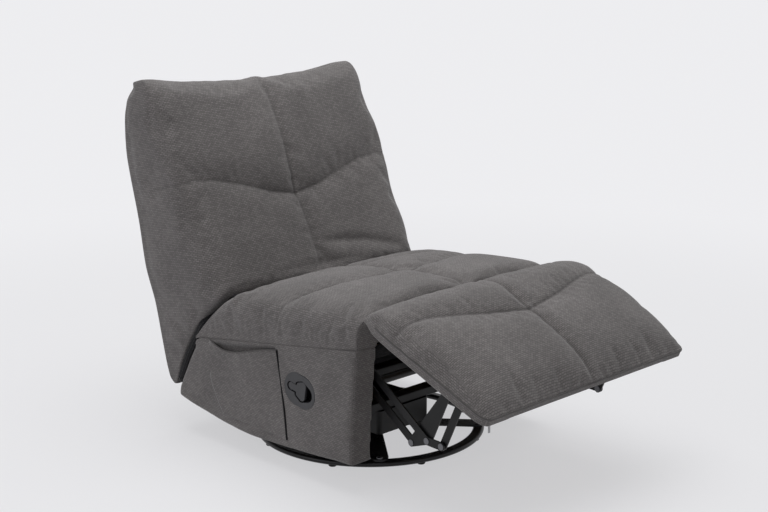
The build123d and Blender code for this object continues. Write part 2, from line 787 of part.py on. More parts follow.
# Cross tube that ties the two upper links
link_length = (LOWER_LINK[0] ** 2 + LOWER_LINK[1] ** 2) ** 0.5
TUBE_AT = shift(
    UPPER_PIVOT,
    (TUBE_ALONG * LOWER_LINK[0] / link_length, TUBE_ALONG * LOWER_LINK[1] / link_length),
)
with BuildPart() as link_cross_tube:
    with BuildSketch(side_plane(-UPPER_LAYER)):
        with Locations(TUBE_AT):
            Circle(TUBE_RADIUS)
            Circle(TUBE_RADIUS - TUBE_WALL, mode=Mode.SUBTRACT)
    extrude(amount=2 * UPPER_LAYER)
write(link_cross_tube, "link_cross_tube")

# Legrest cushion: two padded lobes that meet at the cross seam
PAD_WIDE = (PAD_HALF - 8.0, PAD_HALF, PAD_HALF - 56.0)
PAD_THIN = (PAD_HALF - 8.0, PAD_HALF - 4.0, PAD_HALF - 10.0)
PAD_STATIONS = (  # along, half widths, bulge, shoulder, crown, valley
    (PAD_START, PAD_THIN, -3.0, 4.0, 9.0, 8.0),
    (100.0, PAD_WIDE, 7.0, 44.0, 72.0, 62.0),
    (190.0, PAD_WIDE, 5.0, 38.0, 67.0, 56.0),
    (300.0, PAD_WIDE, 5.0, 36.0, 62.0, 53.0),
    (PAD_LENGTH, PAD_THIN, -3.0, 4.0, 12.0, 10.0),
)
pad_sections = [
    padded_section(pad_plane(along), half, PAD_BASE, bulge, shoulder, crown, valley)
    for along, half, bulge, shoulder, crown, valley in PAD_STATIONS
]
PAD_EDGE = -3.0  # underside of the pad where it meets the roll
with BuildPart() as legrest_cushion:
    loft(sections=pad_sections[:3])
    loft(sections=pad_sections[2:])
    with BuildSketch(pad_side_plane(PAD_HALF + SHEET)):
        Polygon(
            (0, PAD_EDGE),
            (PAD_START, PAD_EDGE),
            (FOOT_BOARD_START, PAD_BASE),
            (FOOT_BOARD_START, 3 * PAD_BASE),
            (0, 3 * PAD_BASE),
            align=None,
        )
    extrude(amount=2 * (PAD_HALF + SHEET), mode=Mode.SUBTRACT)
write(legrest_cushion, "legrest_cushion")

BRACKET_SCREW_INSET = 14.0
SCREW_RADIUS = 3.0
SCREW_HEAD = 6.0
SCREW_HEAD_HIGH = 3.0
SCREW_GRIP = 10.0
BRACKET_BEFORE = 34.0  # flange beyond the first pivot
BRACKET_AFTER = 40.0  # flange beyond the second pivot
BOARD_TOP = PAD_BASE - SEAT_GAP
BOARD_BOTTOM = BOARD_TOP - FOOT_BOARD_THICK
FLANGE_BOTTOM = BOARD_BOTTOM - SHEET


def along_pad(point):
    """How far along the legrest, and how far above its hinge line, a side view point lies."""
    tilt = radians(PAD_TILT)
    y, z = shift(point, (-HINGE[0], -HINGE[1]))
    return (-y * cos(tilt) - z * sin(tilt), -y * sin(tilt) + z * cos(tilt))


FLANGE_FROM = along_pad(BRACKET_PIVOT)[0] - BRACKET_BEFORE
FLANGE_TO = along_pad(BRACKET_OUTER)[0] + BRACKET_AFTER
FLANGE_INNER = LOWER_LAYER + LINK_THICK - FLANGE_WIDE
SCREW_X = FLANGE_INNER + BRACKET_SCREW_INSET
SCREW_ALONG = (FLANGE_FROM + BRACKET_SCREW_INSET, FLANGE_TO - BRACKET_SCREW_INSET)


def underside_plane(up):
    """Plane parallel to the legrest, sketch (x, along), extruded upwards."""
    tilt = radians(PAD_TILT)
    y, z = pad_point(0, up)
    return Plane(
        origin=(0, SWIVEL_Y + y, z), x_dir=(-1, 0, 0), z_dir=(0, -sin(tilt), cos(tilt))
    )


SCREW_POINTS = [(side * SCREW_X, along) for side in SIDES.values() for along in SCREW_ALONG]

with BuildPart() as legrest_board:
    with BuildSketch(underside_plane(BOARD_BOTTOM)):
        with Locations((0, (FOOT_BOARD_START + FOOT_BOARD_END) / 2)):
            RectangleRounded(
                2 * FOOT_BOARD_HALF, FOOT_BOARD_END - FOOT_BOARD_START, 2 * FOOT_BOARD_THICK
            )
        with Locations(*SCREW_POINTS):
            Circle(SCREW_RADIUS + RUN, mode=Mode.SUBTRACT)
    extrude(amount=FOOT_BOARD_THICK)
write(legrest_board, "legrest_board")

for name, side in SIDES.items():
    pivots = [along_pad(BRACKET_PIVOT), along_pad(BRACKET_OUTER)]
    shoulders = [
        (FLANGE_FROM + LINK_HALF, BOARD_BOTTOM - LINK_HALF),
        (FLANGE_TO - LINK_HALF, BOARD_BOTTOM - LINK_HALF),
    ]
    with BuildPart() as legrest_bracket:
        with BuildSketch(pad_side_plane(side * LOWER_LAYER)):
            with Locations(*pivots, *shoulders):
                Circle(LINK_HALF)
            make_hull()
            with Locations(*pivots):
                Circle(RIVET_RADIUS + RUN, mode=Mode.SUBTRACT)
        extrude(amount=-side * LINK_THICK)
        with BuildSketch(underside_plane(FLANGE_BOTTOM)):
            with Locations(
                (-side * (FLANGE_INNER + FLANGE_WIDE / 2), (FLANGE_FROM + FLANGE_TO) / 2)
            ):
                Rectangle(FLANGE_WIDE, FLANGE_TO - FLANGE_FROM)
            with Locations(*[(-side * SCREW_X, along) for along in SCREW_ALONG]):
                Circle(SCREW_RADIUS + RUN, mode=Mode.SUBTRACT)
        extrude(amount=SHEET)
    write(legrest_bracket, f"legrest_bracket_{name}")

with BuildPart() as bracket_screws:
    with BuildSketch(underside_plane(FLANGE_BOTTOM - SCREW_HEAD_HIGH)):
        with Locations(*SCREW_POINTS):
            Circle(SCREW_HEAD)
    extrude(amount=SCREW_HEAD_HIGH)
    with BuildSketch(underside_plane(FLANGE_BOTTOM)):
        with Locations(*SCREW_POINTS):
            Circle(SCREW_RADIUS)
    extrude(amount=SHEET + SCREW_GRIP)
write(bracket_screws, "bracket_screws")

# Zip slider under the toe, with a pull that swings on its pin
SLIDER_WIDE = 9.0
SLIDER_LONG = 12.0
SLIDER_HIGH = 3.0
EAR_THICK = 1.2
ZIP_PIN = pad_point(ZIP_ALONG, PAD_BASE - SEAT_GAP - SLIDER_HIGH - ZIP_EYE_RADIUS - SEAT_GAP)
with BuildPart() as zip_slider:
    with BuildSketch(underside_plane(PAD_BASE - SEAT_GAP - SLIDER_HIGH)):
        with Locations((-ZIP_X, ZIP_ALONG)):
            RectangleRounded(SLIDER_WIDE, SLIDER_LONG, SLIDER_HIGH / 2)
    extrude(amount=SLIDER_HIGH)
    ear_up = PAD_BASE - SEAT_GAP - SLIDER_HIGH
    for ear in (-SLIDER_WIDE / 2, SLIDER_WIDE / 2 - EAR_THICK):
        with BuildSketch(pad_side_plane(ZIP_X - ear)):
            with Locations((ZIP_ALONG, ear_up - ZIP_EYE_RADIUS / 2)):
                Rectangle(2 * ZIP_EYE_RADIUS, ZIP_EYE_RADIUS)
            with Locations((ZIP_ALONG, ear_up - ZIP_EYE_RADIUS - SEAT_GAP)):
                Circle(ZIP_EYE_RADIUS)
        extrude(amount=EAR_THICK)
    with BuildSketch(side_plane(ZIP_X - SLIDER_WIDE / 2)):
        with Locations(ZIP_PIN):
            Circle(ZIP_PIN_RADIUS)
    extrude(amount=SLIDER_WIDE)
write(zip_slider, "zip_slider")

with BuildPart() as zip_pull:
    with BuildSketch(side_plane(ZIP_X - ZIP_WIDE / 2)):
        with Locations(ZIP_PIN):
            Circle(ZIP_EYE_RADIUS)
        with Locations(shift(ZIP_PIN, (0, -ZIP_LONG / 2))):
            Rectangle(ZIP_EYE_RADIUS, ZIP_LONG)
        with Locations(ZIP_PIN):
            Circle(ZIP_PIN_RADIUS + RUN, mode=Mode.SUBTRACT)
    extrude(amount=ZIP_WIDE)
write(zip_pull, "zip_pull")

# Back: a padded wedge on its knuckle, then two padded lobes
BACK_STATIONS = (  # along, half width, rear, front at the sides, crown, valley
    (BACK_BOTTOM, HALF_WIDTH - 2.0, 11.0, -240.0, -275.0, -271.0),
    (320.0, HALF_WIDTH + 9.0, 22.0, -208.0, -239.0, -225.0),
    (BACK_CROSS_SEAM, HALF_WIDTH + 4.0, 28.0, -188.0, -208.0, -192.0),
    (600.0, HALF_WIDTH + 7.0, 32.0, -154.0, -180.0, -164.0),
    (BACK_TOP, HALF_WIDTH - 9.0, -34.0, -97.0, -108.0, -104.0),
)
REAR_BULGE = 5.0
REAR_INSET = 8.0
FRONT_INSET = 21.0


def back_section(along, half, rear, front, crown, valley):
    """Section of the back: bulging rear and sides, two crowns and a sewn valley in front."""
    rear_half = half - REAR_INSET
    front_half = half - FRONT_INSET
    side_middle = (rear + front) / 2
    with BuildSketch(back_plane(along)) as section:
        with BuildLine():
            ThreePointArc((rear_half, rear), (0, rear + REAR_BULGE), (-rear_half, rear))
            ThreePointArc((-rear_half, rear), (-half, side_middle), (-front_half, front))
            ThreePointArc((-front_half, front), (-front_half / 2, crown), (0, valley))
            ThreePointArc((0, valley), (front_half / 2, crown), (front_half, front))
            ThreePointArc((front_half, front), (half, side_middle), (rear_half, rear))
        make_face()
    return section.sketch


back_sections = [back_section(*station) for station in BACK_STATIONS]
wedge_top = shift(JUNCTION_TOP, (JUNCTION_HALF_GAP, JUNCTION_HALF_GAP / 2))
wedge_middle = shift(JUNCTION_MIDDLE, (JUNCTION_HALF_GAP * 0.75, JUNCTION_HALF_GAP * 0.66))
wedge_bottom = shift(BACK_PIVOT, (-KNUCKLE_RADIUS, 0))
knuckle_low = shift(BACK_PIVOT, (0, -KNUCKLE_RADIUS))
knuckle_rear = shift(BACK_PIVOT, (KNUCKLE_RADIUS, 0))
wedge_rear = back_point(BACK_BOTTOM, BACK_STATIONS[0][2] + 2 * REAR_BULGE)
wedge_over = back_point(BACK_BOTTOM + HALF_WIDTH, BACK_STATIONS[0][2])
arc_step = KNUCKLE_RADIUS * cos(radians(45))

with BuildPart() as back_wedge:
    extrude(to_extrude=back_sections[0], amount=-2 * BACK_BOTTOM)
    with BuildSketch(side_plane(-HALF_WIDTH)):
        with BuildLine():
            ThreePointArc(wedge_top, wedge_middle, wedge_bottom)
            ThreePointArc(
                wedge_bottom, shift(BACK_PIVOT, (-arc_step, -arc_step)), knuckle_low
            )
            ThreePointArc(
                knuckle_low, shift(BACK_PIVOT, (arc_step, -arc_step)), knuckle_rear
            )
            Polyline(knuckle_rear, wedge_rear, wedge_over, wedge_top)
        make_face()
    extrude(amount=2 * HALF_WIDTH, mode=Mode.INTERSECT)

with BuildPart() as back_form:
    loft(sections=back_sections[:3])
    loft(sections=back_sections[2:])
    add(back_wedge.part)
    # The top edge sags between its two corners
    with BuildSketch(back_face_plane(-HALF_WIDTH)):
        with BuildLine():
            ThreePointArc(
                (-HALF_WIDTH, BACK_TOP), (0, BACK_TOP - BACK_TOP_SAG), (HALF_WIDTH, BACK_TOP)
            )
            Polyline(
                (HALF_WIDTH, BACK_TOP),
                (HALF_WIDTH, BACK_TOP + HALF_WIDTH),
                (-HALF_WIDTH, BACK_TOP + HALF_WIDTH),
                (-HALF_WIDTH, BACK_TOP),
            )
        make_face()
    extrude(amount=-2 * HALF_WIDTH, mode=Mode.SUBTRACT)

# Room in the soft back for its steel arms and for the side plates
ARM_FOOT = back_point(BACK_ARM_UP, FRAME_REAR - FRAME_THICK / 2)
SLOT_INNER = BACK_ARM_LAYER - SHEET
SLOT_OUTER = BOARD_INNER + SHEET
SLOT_DROP = 2 * KNUCKLE_RADIUS
with BuildPart() as arm_slots:
    for side in SIDES.values():
        with BuildSketch(side_plane(side * SLOT_INNER)):
            with Locations(BACK_PIVOT, ARM_FOOT):
                Circle(BACK_ARM_RADIUS + LINK_GAP)
            make_hull()
        extrude(amount=side * (SLOT_OUTER - SLOT_INNER))
        with BuildSketch(side_plane(side * SLOT_INNER)):
            Polygon(
                shift(BACK_PIVOT, (0, BACK_ARM_RADIUS + LINK_GAP)),
                shift(BACK_PIVOT, (-4 * KNUCKLE_RADIUS, BACK_ARM_RADIUS + LINK_GAP)),
                shift(BACK_PIVOT, (-4 * KNUCKLE_RADIUS, -SLOT_DROP)),
                shift(BACK_PIVOT, (SLOT_DROP * tan(radians(BACK_SWEEP)), -SLOT_DROP)),
                BACK_PIVOT,
                align=None,
            )
        extrude(amount=side * (SLOT_OUTER - SLOT_INNER))

STILE_OUTER = BACK_ARM_LAYER
POCKET_HALF = BACK_ARM_LAYER + BACK_ARM_THICK + SEAT_GAP
POCKET_THICK = FRAME_THICK + STRAP_THICK + 2 * SEAT_GAP
split_plane = back_face_plane(FRAME_REAR)

with BuildPart() as back_cushion:
    add(back_form.part)
    split(bisect_by=split_plane, keep=Keep.TOP)
    add(arm_slots.part, mode=Mode.SUBTRACT)
    with BuildSketch(back_face_plane(FRAME_REAR + SHEET)):
        with Locations((0, (FRAME_FROM + FRAME_TO) / 2)):
            Rectangle(2 * POCKET_HALF, FRAME_TO - FRAME_FROM + 2 * SEAT_GAP)
    extrude(amount=POCKET_THICK + SHEET, mode=Mode.SUBTRACT)
write(back_cushion, "back_cushion")

with BuildPart() as back_rear_pad:
    add(back_form.part)
    split(bisect_by=split_plane, keep=Keep.BOTTOM)
    add(arm_slots.part, mode=Mode.SUBTRACT)
write(back_rear_pad, "back_rear_pad")

# Timber back frame in the pocket, with webbing across its front
ARM_BOLTS = (
    back_point(FRAME_FROM + 2 * BACK_ARM_UP, FRAME_REAR - FRAME_THICK / 2),
    back_point(FRAME_FROM + 3 * BACK_ARM_UP, FRAME_REAR - FRAME_THICK / 2),
)
for name, side in SIDES.items():
    with BuildPart() as back_stile:
        with BuildSketch(back_face_plane(FRAME_REAR - SEAT_GAP)):
            with Locations(
                (side * (STILE_OUTER - STILE_WIDE / 2), (FRAME_FROM + FRAME_TO) / 2)
            ):
                Rectangle(STILE_WIDE, FRAME_TO - FRAME_FROM)
        extrude(amount=FRAME_THICK)
    write(back_stile, f"back_stile_{name}")

    # Flat steel arm from the pivot up the outside of the stile
    with BuildPart() as back_bracket:
        for chain, half in (
            ((BACK_PIVOT, ARM_FOOT), BACK_ARM_RADIUS),
            ((ARM_FOOT, ARM_BOLTS[1]), FRAME_THICK / 2 - SEAT_GAP),
        ):
            with BuildSketch(side_plane(side * BACK_ARM_LAYER)):
                with Locations(*chain):
                    Circle(half)
                make_hull()
            extrude(amount=side * BACK_ARM_THICK)
        with BuildSketch(side_plane(side * BACK_ARM_LAYER)):
            with Locations(BACK_PIVOT):
                Circle(RIVET_RADIUS + RUN)
        extrude(amount=side * BACK_ARM_THICK, mode=Mode.SUBTRACT)
    write(back_bracket, f"back_bracket_{name}")

RAIL_HALF = STILE_OUTER - STILE_WIDE
BACK_RAILS = {
    "top": FRAME_TO - BACK_RAIL_WIDE / 2,
    "middle": BACK_CROSS_SEAM,
    "bottom": FRAME_FROM + BACK_RAIL_WIDE,
}
for name, along in BACK_RAILS.items():
    with BuildPart() as back_rail:
        with BuildSketch(back_face_plane(FRAME_REAR - SEAT_GAP)):
            with Locations((0, along)):
                Rectangle(2 * RAIL_HALF, BACK_RAIL_WIDE)
        extrude(amount=FRAME_THICK)
    write(back_rail, f"back_{name}_rail")

BACK_STRAPS = (200.0, 290.0, 530.0, 620.0)
with BuildPart() as back_webbing:
    with BuildSketch(back_face_plane(FRAME_REAR - SEAT_GAP - FRAME_THICK)):
        for along in BACK_STRAPS:
            with Locations((0, along)):
                Rectangle(2 * (STILE_OUTER - SEAT_GAP), STRAP_WIDE)
    extrude(amount=STRAP_THICK)
write(back_webbing, "back_webbing")

# Zip tape closing the side seam between body and back
ZIP_TAPE_OUTER = HALF_WIDTH - 14.0
ZIP_TAPE_WIDE = 22.0
tape_seat = JUNCTION_HALF_GAP - SEAT_GAP
for name, side in SIDES.items():
    with BuildPart() as side_zip:
        with BuildSketch(side_plane(side * (ZIP_TAPE_OUTER - ZIP_TAPE_WIDE))):
            with BuildLine():
                seat_edge = ThreePointArc(
                    shift(JUNCTION_TOP, (-tape_seat, -tape_seat / 2)),
                    shift(JUNCTION_MIDDLE, (-tape_seat * 0.75, -tape_seat * 0.66)),
                    shift(JUNCTION_BOTTOM, (-tape_seat, -tape_seat / 2)),
                )
                back_edge = ThreePointArc(
                    JUNCTION_TOP, JUNCTION_MIDDLE, shift(JUNCTION_BOTTOM, (-SEAT_GAP, 0))
                )
                Line(seat_edge @ 0, back_edge @ 0)
                Line(seat_edge @ 1, back_edge @ 1)
            make_face()
        extrude(amount=side * ZIP_TAPE_WIDE)
    write(side_zip, f"side_zip_{name}")

# Lever cup: a moulded block with a hollow for the lever's shank and paddle and for the fingers
PADDLE_GAP = 2.0
PADDLE_TAIL = 10.0
PADDLE_SHANK = 9.0
PADDLE_WIDE = (8.0, 15.0)
PADDLE_END = 11.0
PADDLE_HEEL = (-6.0, 11.0)
PADDLE_HEEL_ROUND = 9.0
HOLLOW_FRONT = (26.0, 20.0)  # place and radius of the finger end
PIN_OUT = -LEVER_SINK - LEVER_THICK / 2


def lever_shank(gap):
    """Outline of the lever from its pin to the paddle, wider all round by the gap."""
    with BuildSketch(Plane.XY) as outline:
        with Locations((LEVER_PIVOT_X, 0)):
            Circle(PADDLE_TAIL + gap)
        Circle(PADDLE_SHANK + gap)
        make_hull()
    return outline.sketch


def lever_paddle(gap, finger):
    """Outline of the paddle, wider all round by the gap, with the finger end or without it."""
    with BuildSketch(Plane.XY) as outline:
        for side in (-1, 1):
            with Locations((PADDLE_WIDE[0], side * PADDLE_WIDE[1])):
                Circle(PADDLE_END + gap)
            with Locations((PADDLE_HEEL[0], side * PADDLE_HEEL[1])):
                Circle(PADDLE_HEEL_ROUND + gap)
        if finger:
            with Locations((HOLLOW_FRONT[0], 0)):
                Circle(HOLLOW_FRONT[1])
        make_hull()
    return outline.sketch


def lever_pin_plane():
    """Plane across the lever pin at its middle, normal along the pin."""
    tilt = radians(LEVER_TILT)
    middle = lever_plane(PIN_OUT).from_local_coords((LEVER_PIVOT_X, 0, 0))
    return Plane(origin=middle, x_dir=(1, 0, 0), z_dir=(0, -sin(tilt), cos(tilt)))


with BuildPart() as lever_cup:
    with BuildSketch(lever_plane(-CUP_DEEP)):
        SlotOverall(CUP_LONG, CUP_HIGH)
    extrude(amount=CUP_DEEP)
    with BuildSketch(lever_plane(-CUP_RIM_THICK)):
        SlotOverall(CUP_LONG + 2 * CUP_RIM, CUP_HIGH + 2 * CUP_RIM)
    extrude(amount=CUP_RIM_THICK)
    with BuildSketch(lever_plane(-CUP_HOLLOW)):
        add(lever_shank(PADDLE_GAP))
        add(lever_paddle(PADDLE_GAP, True))
    extrude(amount=CUP_DEEP, mode=Mode.SUBTRACT)
    with BuildSketch(lever_pin_plane()):
        Circle(LEVER_PIN_RADIUS + RUN)
    extrude(amount=LEVER_PIN_HALF + RUN, both=True, mode=Mode.SUBTRACT)
write(lever_cup, "lever_cup")

with BuildPart() as lever_pin:
    with BuildSketch(lever_pin_plane()):
        Circle(LEVER_PIN_RADIUS)
    extrude(amount=LEVER_PIN_HALF, both=True)
write(lever_pin, "lever_pin")

with BuildPart() as release_lever:
    with BuildSketch(lever_plane(-LEVER_SINK - LEVER_THICK)):
        add(lever_shank(0))
        add(lever_paddle(0, False))
    extrude(amount=LEVER_THICK)
    fillet(release_lever.faces().sort_by(Axis.X)[0].edges(), LEVER_THICK / 4)
    with BuildSketch(lever_pin_plane()):
        Circle(LEVER_PIN_RADIUS + RUN)
    extrude(amount=LEVER_PIN_HALF, both=True, mode=Mode.SUBTRACT)
write(release_lever, "release_lever")

# Release cable from the back of the cup, through the board, down to the front cross bar
CABLE_INSET = 95.0
CABLE_X = -HALF_WIDTH + CABLE_INSET
cable_from = (-HALF_WIDTH + CUP_DEEP + SEAT_GAP, SWIVEL_Y + LEVER_AT[0], LEVER_AT[1])
cable_turn = (CABLE_X, SWIVEL_Y + LEVER_AT[0], LEVER_AT[1])
cable_to = (CABLE_X, SWIVEL_Y - BAR_Y, BAR_Z + BAR_HIGH + SEAT_GAP + CABLE_RADIUS / 3)
CABLE_BEND = 25.0
with BuildPart() as release_cable:
    with BuildLine() as route:
        FilletPolyline(cable_from, cable_turn, cable_to, radius=CABLE_BEND)
    with BuildSketch(Plane(origin=cable_from, z_dir=(1, 0, 0))):
        Circle(CABLE_RADIUS)
    sweep(path=route.wires()[0])
write(release_cable, "release_cable")
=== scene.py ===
# %% [markdown]
# # An armless swivel recliner, dressed over its CAD frame
# The solids give every size and every moving part. This file gives the looks: padded covers,
# seams, stitches, black steel and the light of a photo studio. Each step says what the piece is
# on the real chair, then makes it. Lengths are metres, the chair faces -Y and +Z is up.

# %% The frame
import json
import math

import bmesh
import bpy
import numpy as np
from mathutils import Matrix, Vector
from mathutils.bvhtree import BVHTree


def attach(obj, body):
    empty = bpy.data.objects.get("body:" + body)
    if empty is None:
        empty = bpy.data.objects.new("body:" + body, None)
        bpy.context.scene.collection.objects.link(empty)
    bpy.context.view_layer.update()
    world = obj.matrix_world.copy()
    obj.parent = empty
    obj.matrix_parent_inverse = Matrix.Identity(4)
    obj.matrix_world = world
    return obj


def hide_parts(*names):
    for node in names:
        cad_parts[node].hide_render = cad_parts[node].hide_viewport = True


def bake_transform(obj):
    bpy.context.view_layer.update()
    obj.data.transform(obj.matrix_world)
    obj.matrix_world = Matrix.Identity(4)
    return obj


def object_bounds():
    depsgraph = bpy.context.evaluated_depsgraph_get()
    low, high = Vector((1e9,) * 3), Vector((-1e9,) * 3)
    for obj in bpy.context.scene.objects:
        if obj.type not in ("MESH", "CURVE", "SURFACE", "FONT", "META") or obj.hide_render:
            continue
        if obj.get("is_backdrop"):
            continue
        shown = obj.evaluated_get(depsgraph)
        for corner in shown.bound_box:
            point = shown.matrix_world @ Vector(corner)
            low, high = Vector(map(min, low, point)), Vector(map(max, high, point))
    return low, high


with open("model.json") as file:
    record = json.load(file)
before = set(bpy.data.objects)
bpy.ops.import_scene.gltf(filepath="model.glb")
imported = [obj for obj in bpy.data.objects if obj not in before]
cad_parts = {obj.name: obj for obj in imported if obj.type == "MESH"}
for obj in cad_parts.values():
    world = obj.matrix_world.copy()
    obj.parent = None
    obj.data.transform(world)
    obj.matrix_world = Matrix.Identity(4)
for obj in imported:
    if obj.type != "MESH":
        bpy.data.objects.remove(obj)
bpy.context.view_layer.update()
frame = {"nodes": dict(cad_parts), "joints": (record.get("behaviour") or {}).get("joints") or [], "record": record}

scene = bpy.context.scene
SWIVEL = next(j["pos_m"][1] for j in frame["joints"] if j["name"] == "swivel")


def stand(name, data):
    """A new object in the scene."""
    made = bpy.data.objects.new(name, data)
    scene.collection.objects.link(made)
    return made


def faces_of(obj):
    return len(obj.data.polygons)


# %% [markdown]
# ## Camera
# The photograph was fitted to the chair's solids, which gave this place, tilt and lens. A camera
# that points along +Y is turned by the azimuth and tipped down by the pitch.

# %% Camera
LENS_MM = 67.55
CAMERA_PLACE = (-2.6302, SWIVEL - 2.6792, 1.3633)
CAMERA_PITCH = 13.16
CAMERA_AZIMUTH = -45.04
camera_data = bpy.data.cameras.new("photo_camera")
photo_camera = stand("photo_camera", camera_data)
camera_data.lens = LENS_MM
camera_data.sensor_width = 36.0
photo_camera.location = CAMERA_PLACE
photo_camera.rotation_euler = (math.radians(90 - CAMERA_PITCH), 0, math.radians(CAMERA_AZIMUTH))
scene.camera = photo_camera
scene.view_settings.view_transform = "Standard"
print("camera", [round(c, 3) for c in photo_camera.location])

# %% [markdown]
# ## Small helpers for node trees
# Materials and Geometry Nodes are both graphs. `node` adds one node, sets its options, and either
# writes a value on an input or links another node's output to it. The rest are short forms of it.


# %% Node helper
def node(tree, kind, inputs=None, **options):
    """Adds a node. Inputs are named or numbered, and are values or sockets to link."""
    made = tree.nodes.new(kind)
    for key, value in options.items():
        setattr(made, key, value)
    for key, value in (inputs or {}).items():
        if isinstance(value, bpy.types.NodeSocket):
            tree.links.new(value, made.inputs[key])
        else:
            made.inputs[key].default_value = value
    return made


def first_of(tree, kind, inputs=None, **options):
    """Adds a node and gives its first output."""
    return node(tree, kind, inputs, **options).outputs[0]


def combine(tree, operation, first, second, kind="ShaderNodeMath"):
    """Joins two values or sockets by one operation."""
    return first_of(tree, kind, {0: first, 1: second}, operation=operation)


def finish(name, color, roughness, **sockets):
    """A new Principled material with its even values set on the shader itself."""
    material = bpy.data.materials.new(name)
    material.use_nodes = True
    tree = material.node_tree
    shader = tree.nodes["Principled BSDF"]
    shader.inputs["Base Color"].default_value = (*color, 1)
    shader.inputs["Roughness"].default_value = roughness
    material.diffuse_color = (*color, 1)
    for key, value in sockets.items():
        shader.inputs[key.replace("_", " ")].default_value = value
    return material, tree, shader


def blend_colors(tree, factor, first, second, mode="MIX"):
    """Mixes two colours, each a value or a socket."""
    colors = {0: factor, 6: first, 7: second}
    return node(tree, "ShaderNodeMix", colors, data_type="RGBA", blend_type=mode).outputs[2]


def object_noise(tree, scale, detail=3.0, stretch=(1, 1, 1)):
    """Noise that sits still on the object, stretched along its axes."""
    place = node(tree, "ShaderNodeTexCoord").outputs["Object"]
    turn = first_of(tree, "ShaderNodeMapping", {"Vector": place, "Scale": stretch})
    return first_of(tree, "ShaderNodeTexNoise", {"Vector": turn, "Scale": scale, "Detail": detail})


def ramp(tree, factor, *stops):
    """A colour ramp through (place, grey or colour) stops."""
    made = node(tree, "ShaderNodeValToRGB", {"Fac": factor})
    band = made.color_ramp
    while len(band.elements) < len(stops):
        band.elements.new(0.5)
    for element, (place, value) in zip(band.elements, stops):
        element.position = place
        element.color = (*value, 1) if isinstance(value, tuple) else (value, value, value, 1)
    return made.outputs["Color"]


def bump(tree, shader, height, distance, strength):
    """Roughens a shader's surface by a height socket."""
    rough = {"Height": height, "Distance": distance, "Strength": strength}
    tree.links.new(first_of(tree, "ShaderNodeBump", rough), shader.inputs["Normal"])


print("node helpers ready")

# %% [markdown]
# ## The cover cloth
# The chair wears a dark warm grey cloth woven from mixed yarns, so each float of yarn has its own
# tone. A Brick texture is a good weave: its bricks are the floats and its mortar the gaps between
# them. It reads an attribute called `weave`, which holds the distance across and along the cloth
# on each piece, so the yarn follows the surface. A second attribute darkens the bottom of the sewn
# lines: this is painted shade where the groove lies in shadow.

# %% Cover cloth
YARN_LONG = 0.0088
YARN_WIDE = 0.0046
YARN_GAP = 0.0008
YARN_WANDER = (0.0008, 0.0002, 0.0)
FLECK_SCALE = (170.0, 430.0, 0.0)
VECTORS = "ShaderNodeVectorMath"


def shade(color, share):
    """A darker or lighter shade of a colour."""
    return (*[c * share for c in color], 1)


def woven(name, dark, middle, light, seam_shade, sheen=0.22):
    """Cloth of three tones, with painted shade for the bottom of its seams."""
    even = {"Sheen_Weight": sheen, "Sheen_Roughness": 0.55, "Specular_IOR_Level": 0.18}
    material, tree, shader = finish(name, middle, 0.93, **even)
    place = node(tree, "ShaderNodeAttribute", attribute_name="weave").outputs["Vector"]
    wander = node(tree, "ShaderNodeTexNoise", {"Vector": place, "Scale": 60.0}).outputs["Color"]
    pushed = combine(tree, "MULTIPLY", wander, YARN_WANDER, VECTORS)
    bricks = node(
        tree,
        "ShaderNodeTexBrick",
        {
            "Vector": combine(tree, "ADD", place, pushed, VECTORS),
            "Color1": shade(dark, 1),
            "Color2": shade(light, 1),
            "Mortar": shade(dark, 0.5),
            "Scale": 1.0,
            "Mortar Size": YARN_GAP,
            "Mortar Smooth": 0.6,
            "Bias": -0.1,
            "Brick Width": YARN_LONG,
            "Row Height": YARN_WIDE,
        },
    )
    dashes = combine(tree, "MULTIPLY", place, FLECK_SCALE, VECTORS)
    fleck = first_of(tree, "ShaderNodeTexNoise", {"Vector": dashes, "Scale": 1.0, "Detail": 2.0})
    flecked = blend_colors(tree, fleck, shade(dark, 0.8), shade(light, 1))
    yarn = blend_colors(tree, 0.18, bricks.outputs["Color"], flecked)
    soft = ramp(tree, object_noise(tree, 7.0, 4.0), (0.3, 0.86), (0.7, 1.12))
    shaded = blend_colors(tree, 1.0, yarn, soft, "MULTIPLY")
    # Painted shade: the colour darkens at the bottom of the sewn lines, following the attribute that groove
    # stores.
    sewn = node(tree, "ShaderNodeAttribute", attribute_name="seam").outputs["Fac"]
    seam_shaded = blend_colors(tree, sewn, shaded, shade(dark, seam_shade))
    tree.links.new(seam_shaded, shader.inputs["Base Color"])
    gaps = combine(tree, "MULTIPLY", bricks.outputs["Fac"], -0.6)
    bump(tree, shader, combine(tree, "ADD", gaps, fleck), 0.0008, 0.4)
    return material


cover_cloth = woven(
    "heather_cloth", (0.130, 0.121, 0.119), (0.160, 0.149, 0.147), (0.208, 0.194, 0.191), 0.5
)
lining_cloth = woven(
    "lining_cloth", (0.008, 0.008, 0.009), (0.014, 0.014, 0.015), (0.022, 0.022, 0.024), 0.6, 0.04
)
print("cloth", cover_cloth.name, lining_cloth.name)

# %% [markdown]
# ## Steel, plastic, rubber and wood
# The ring and the mechanism are black paint on steel: fairly glossy, with the faint waviness of
# sprayed paint and duller scuffs. The lever is moulded plastic with a fine spark-eroded grain.
# None of them is one flat colour: a noise varies the tone or the roughness of each.


# %% Hard finishes
def tone(tree, shader, factor, color, *steps):
    """Varies a shader's colour through (place, share) steps of it."""
    stops = [(place, tuple(min(1, c * share) for c in color)) for place, share in steps]
    tree.links.new(ramp(tree, factor, *stops), shader.inputs["Base Color"])


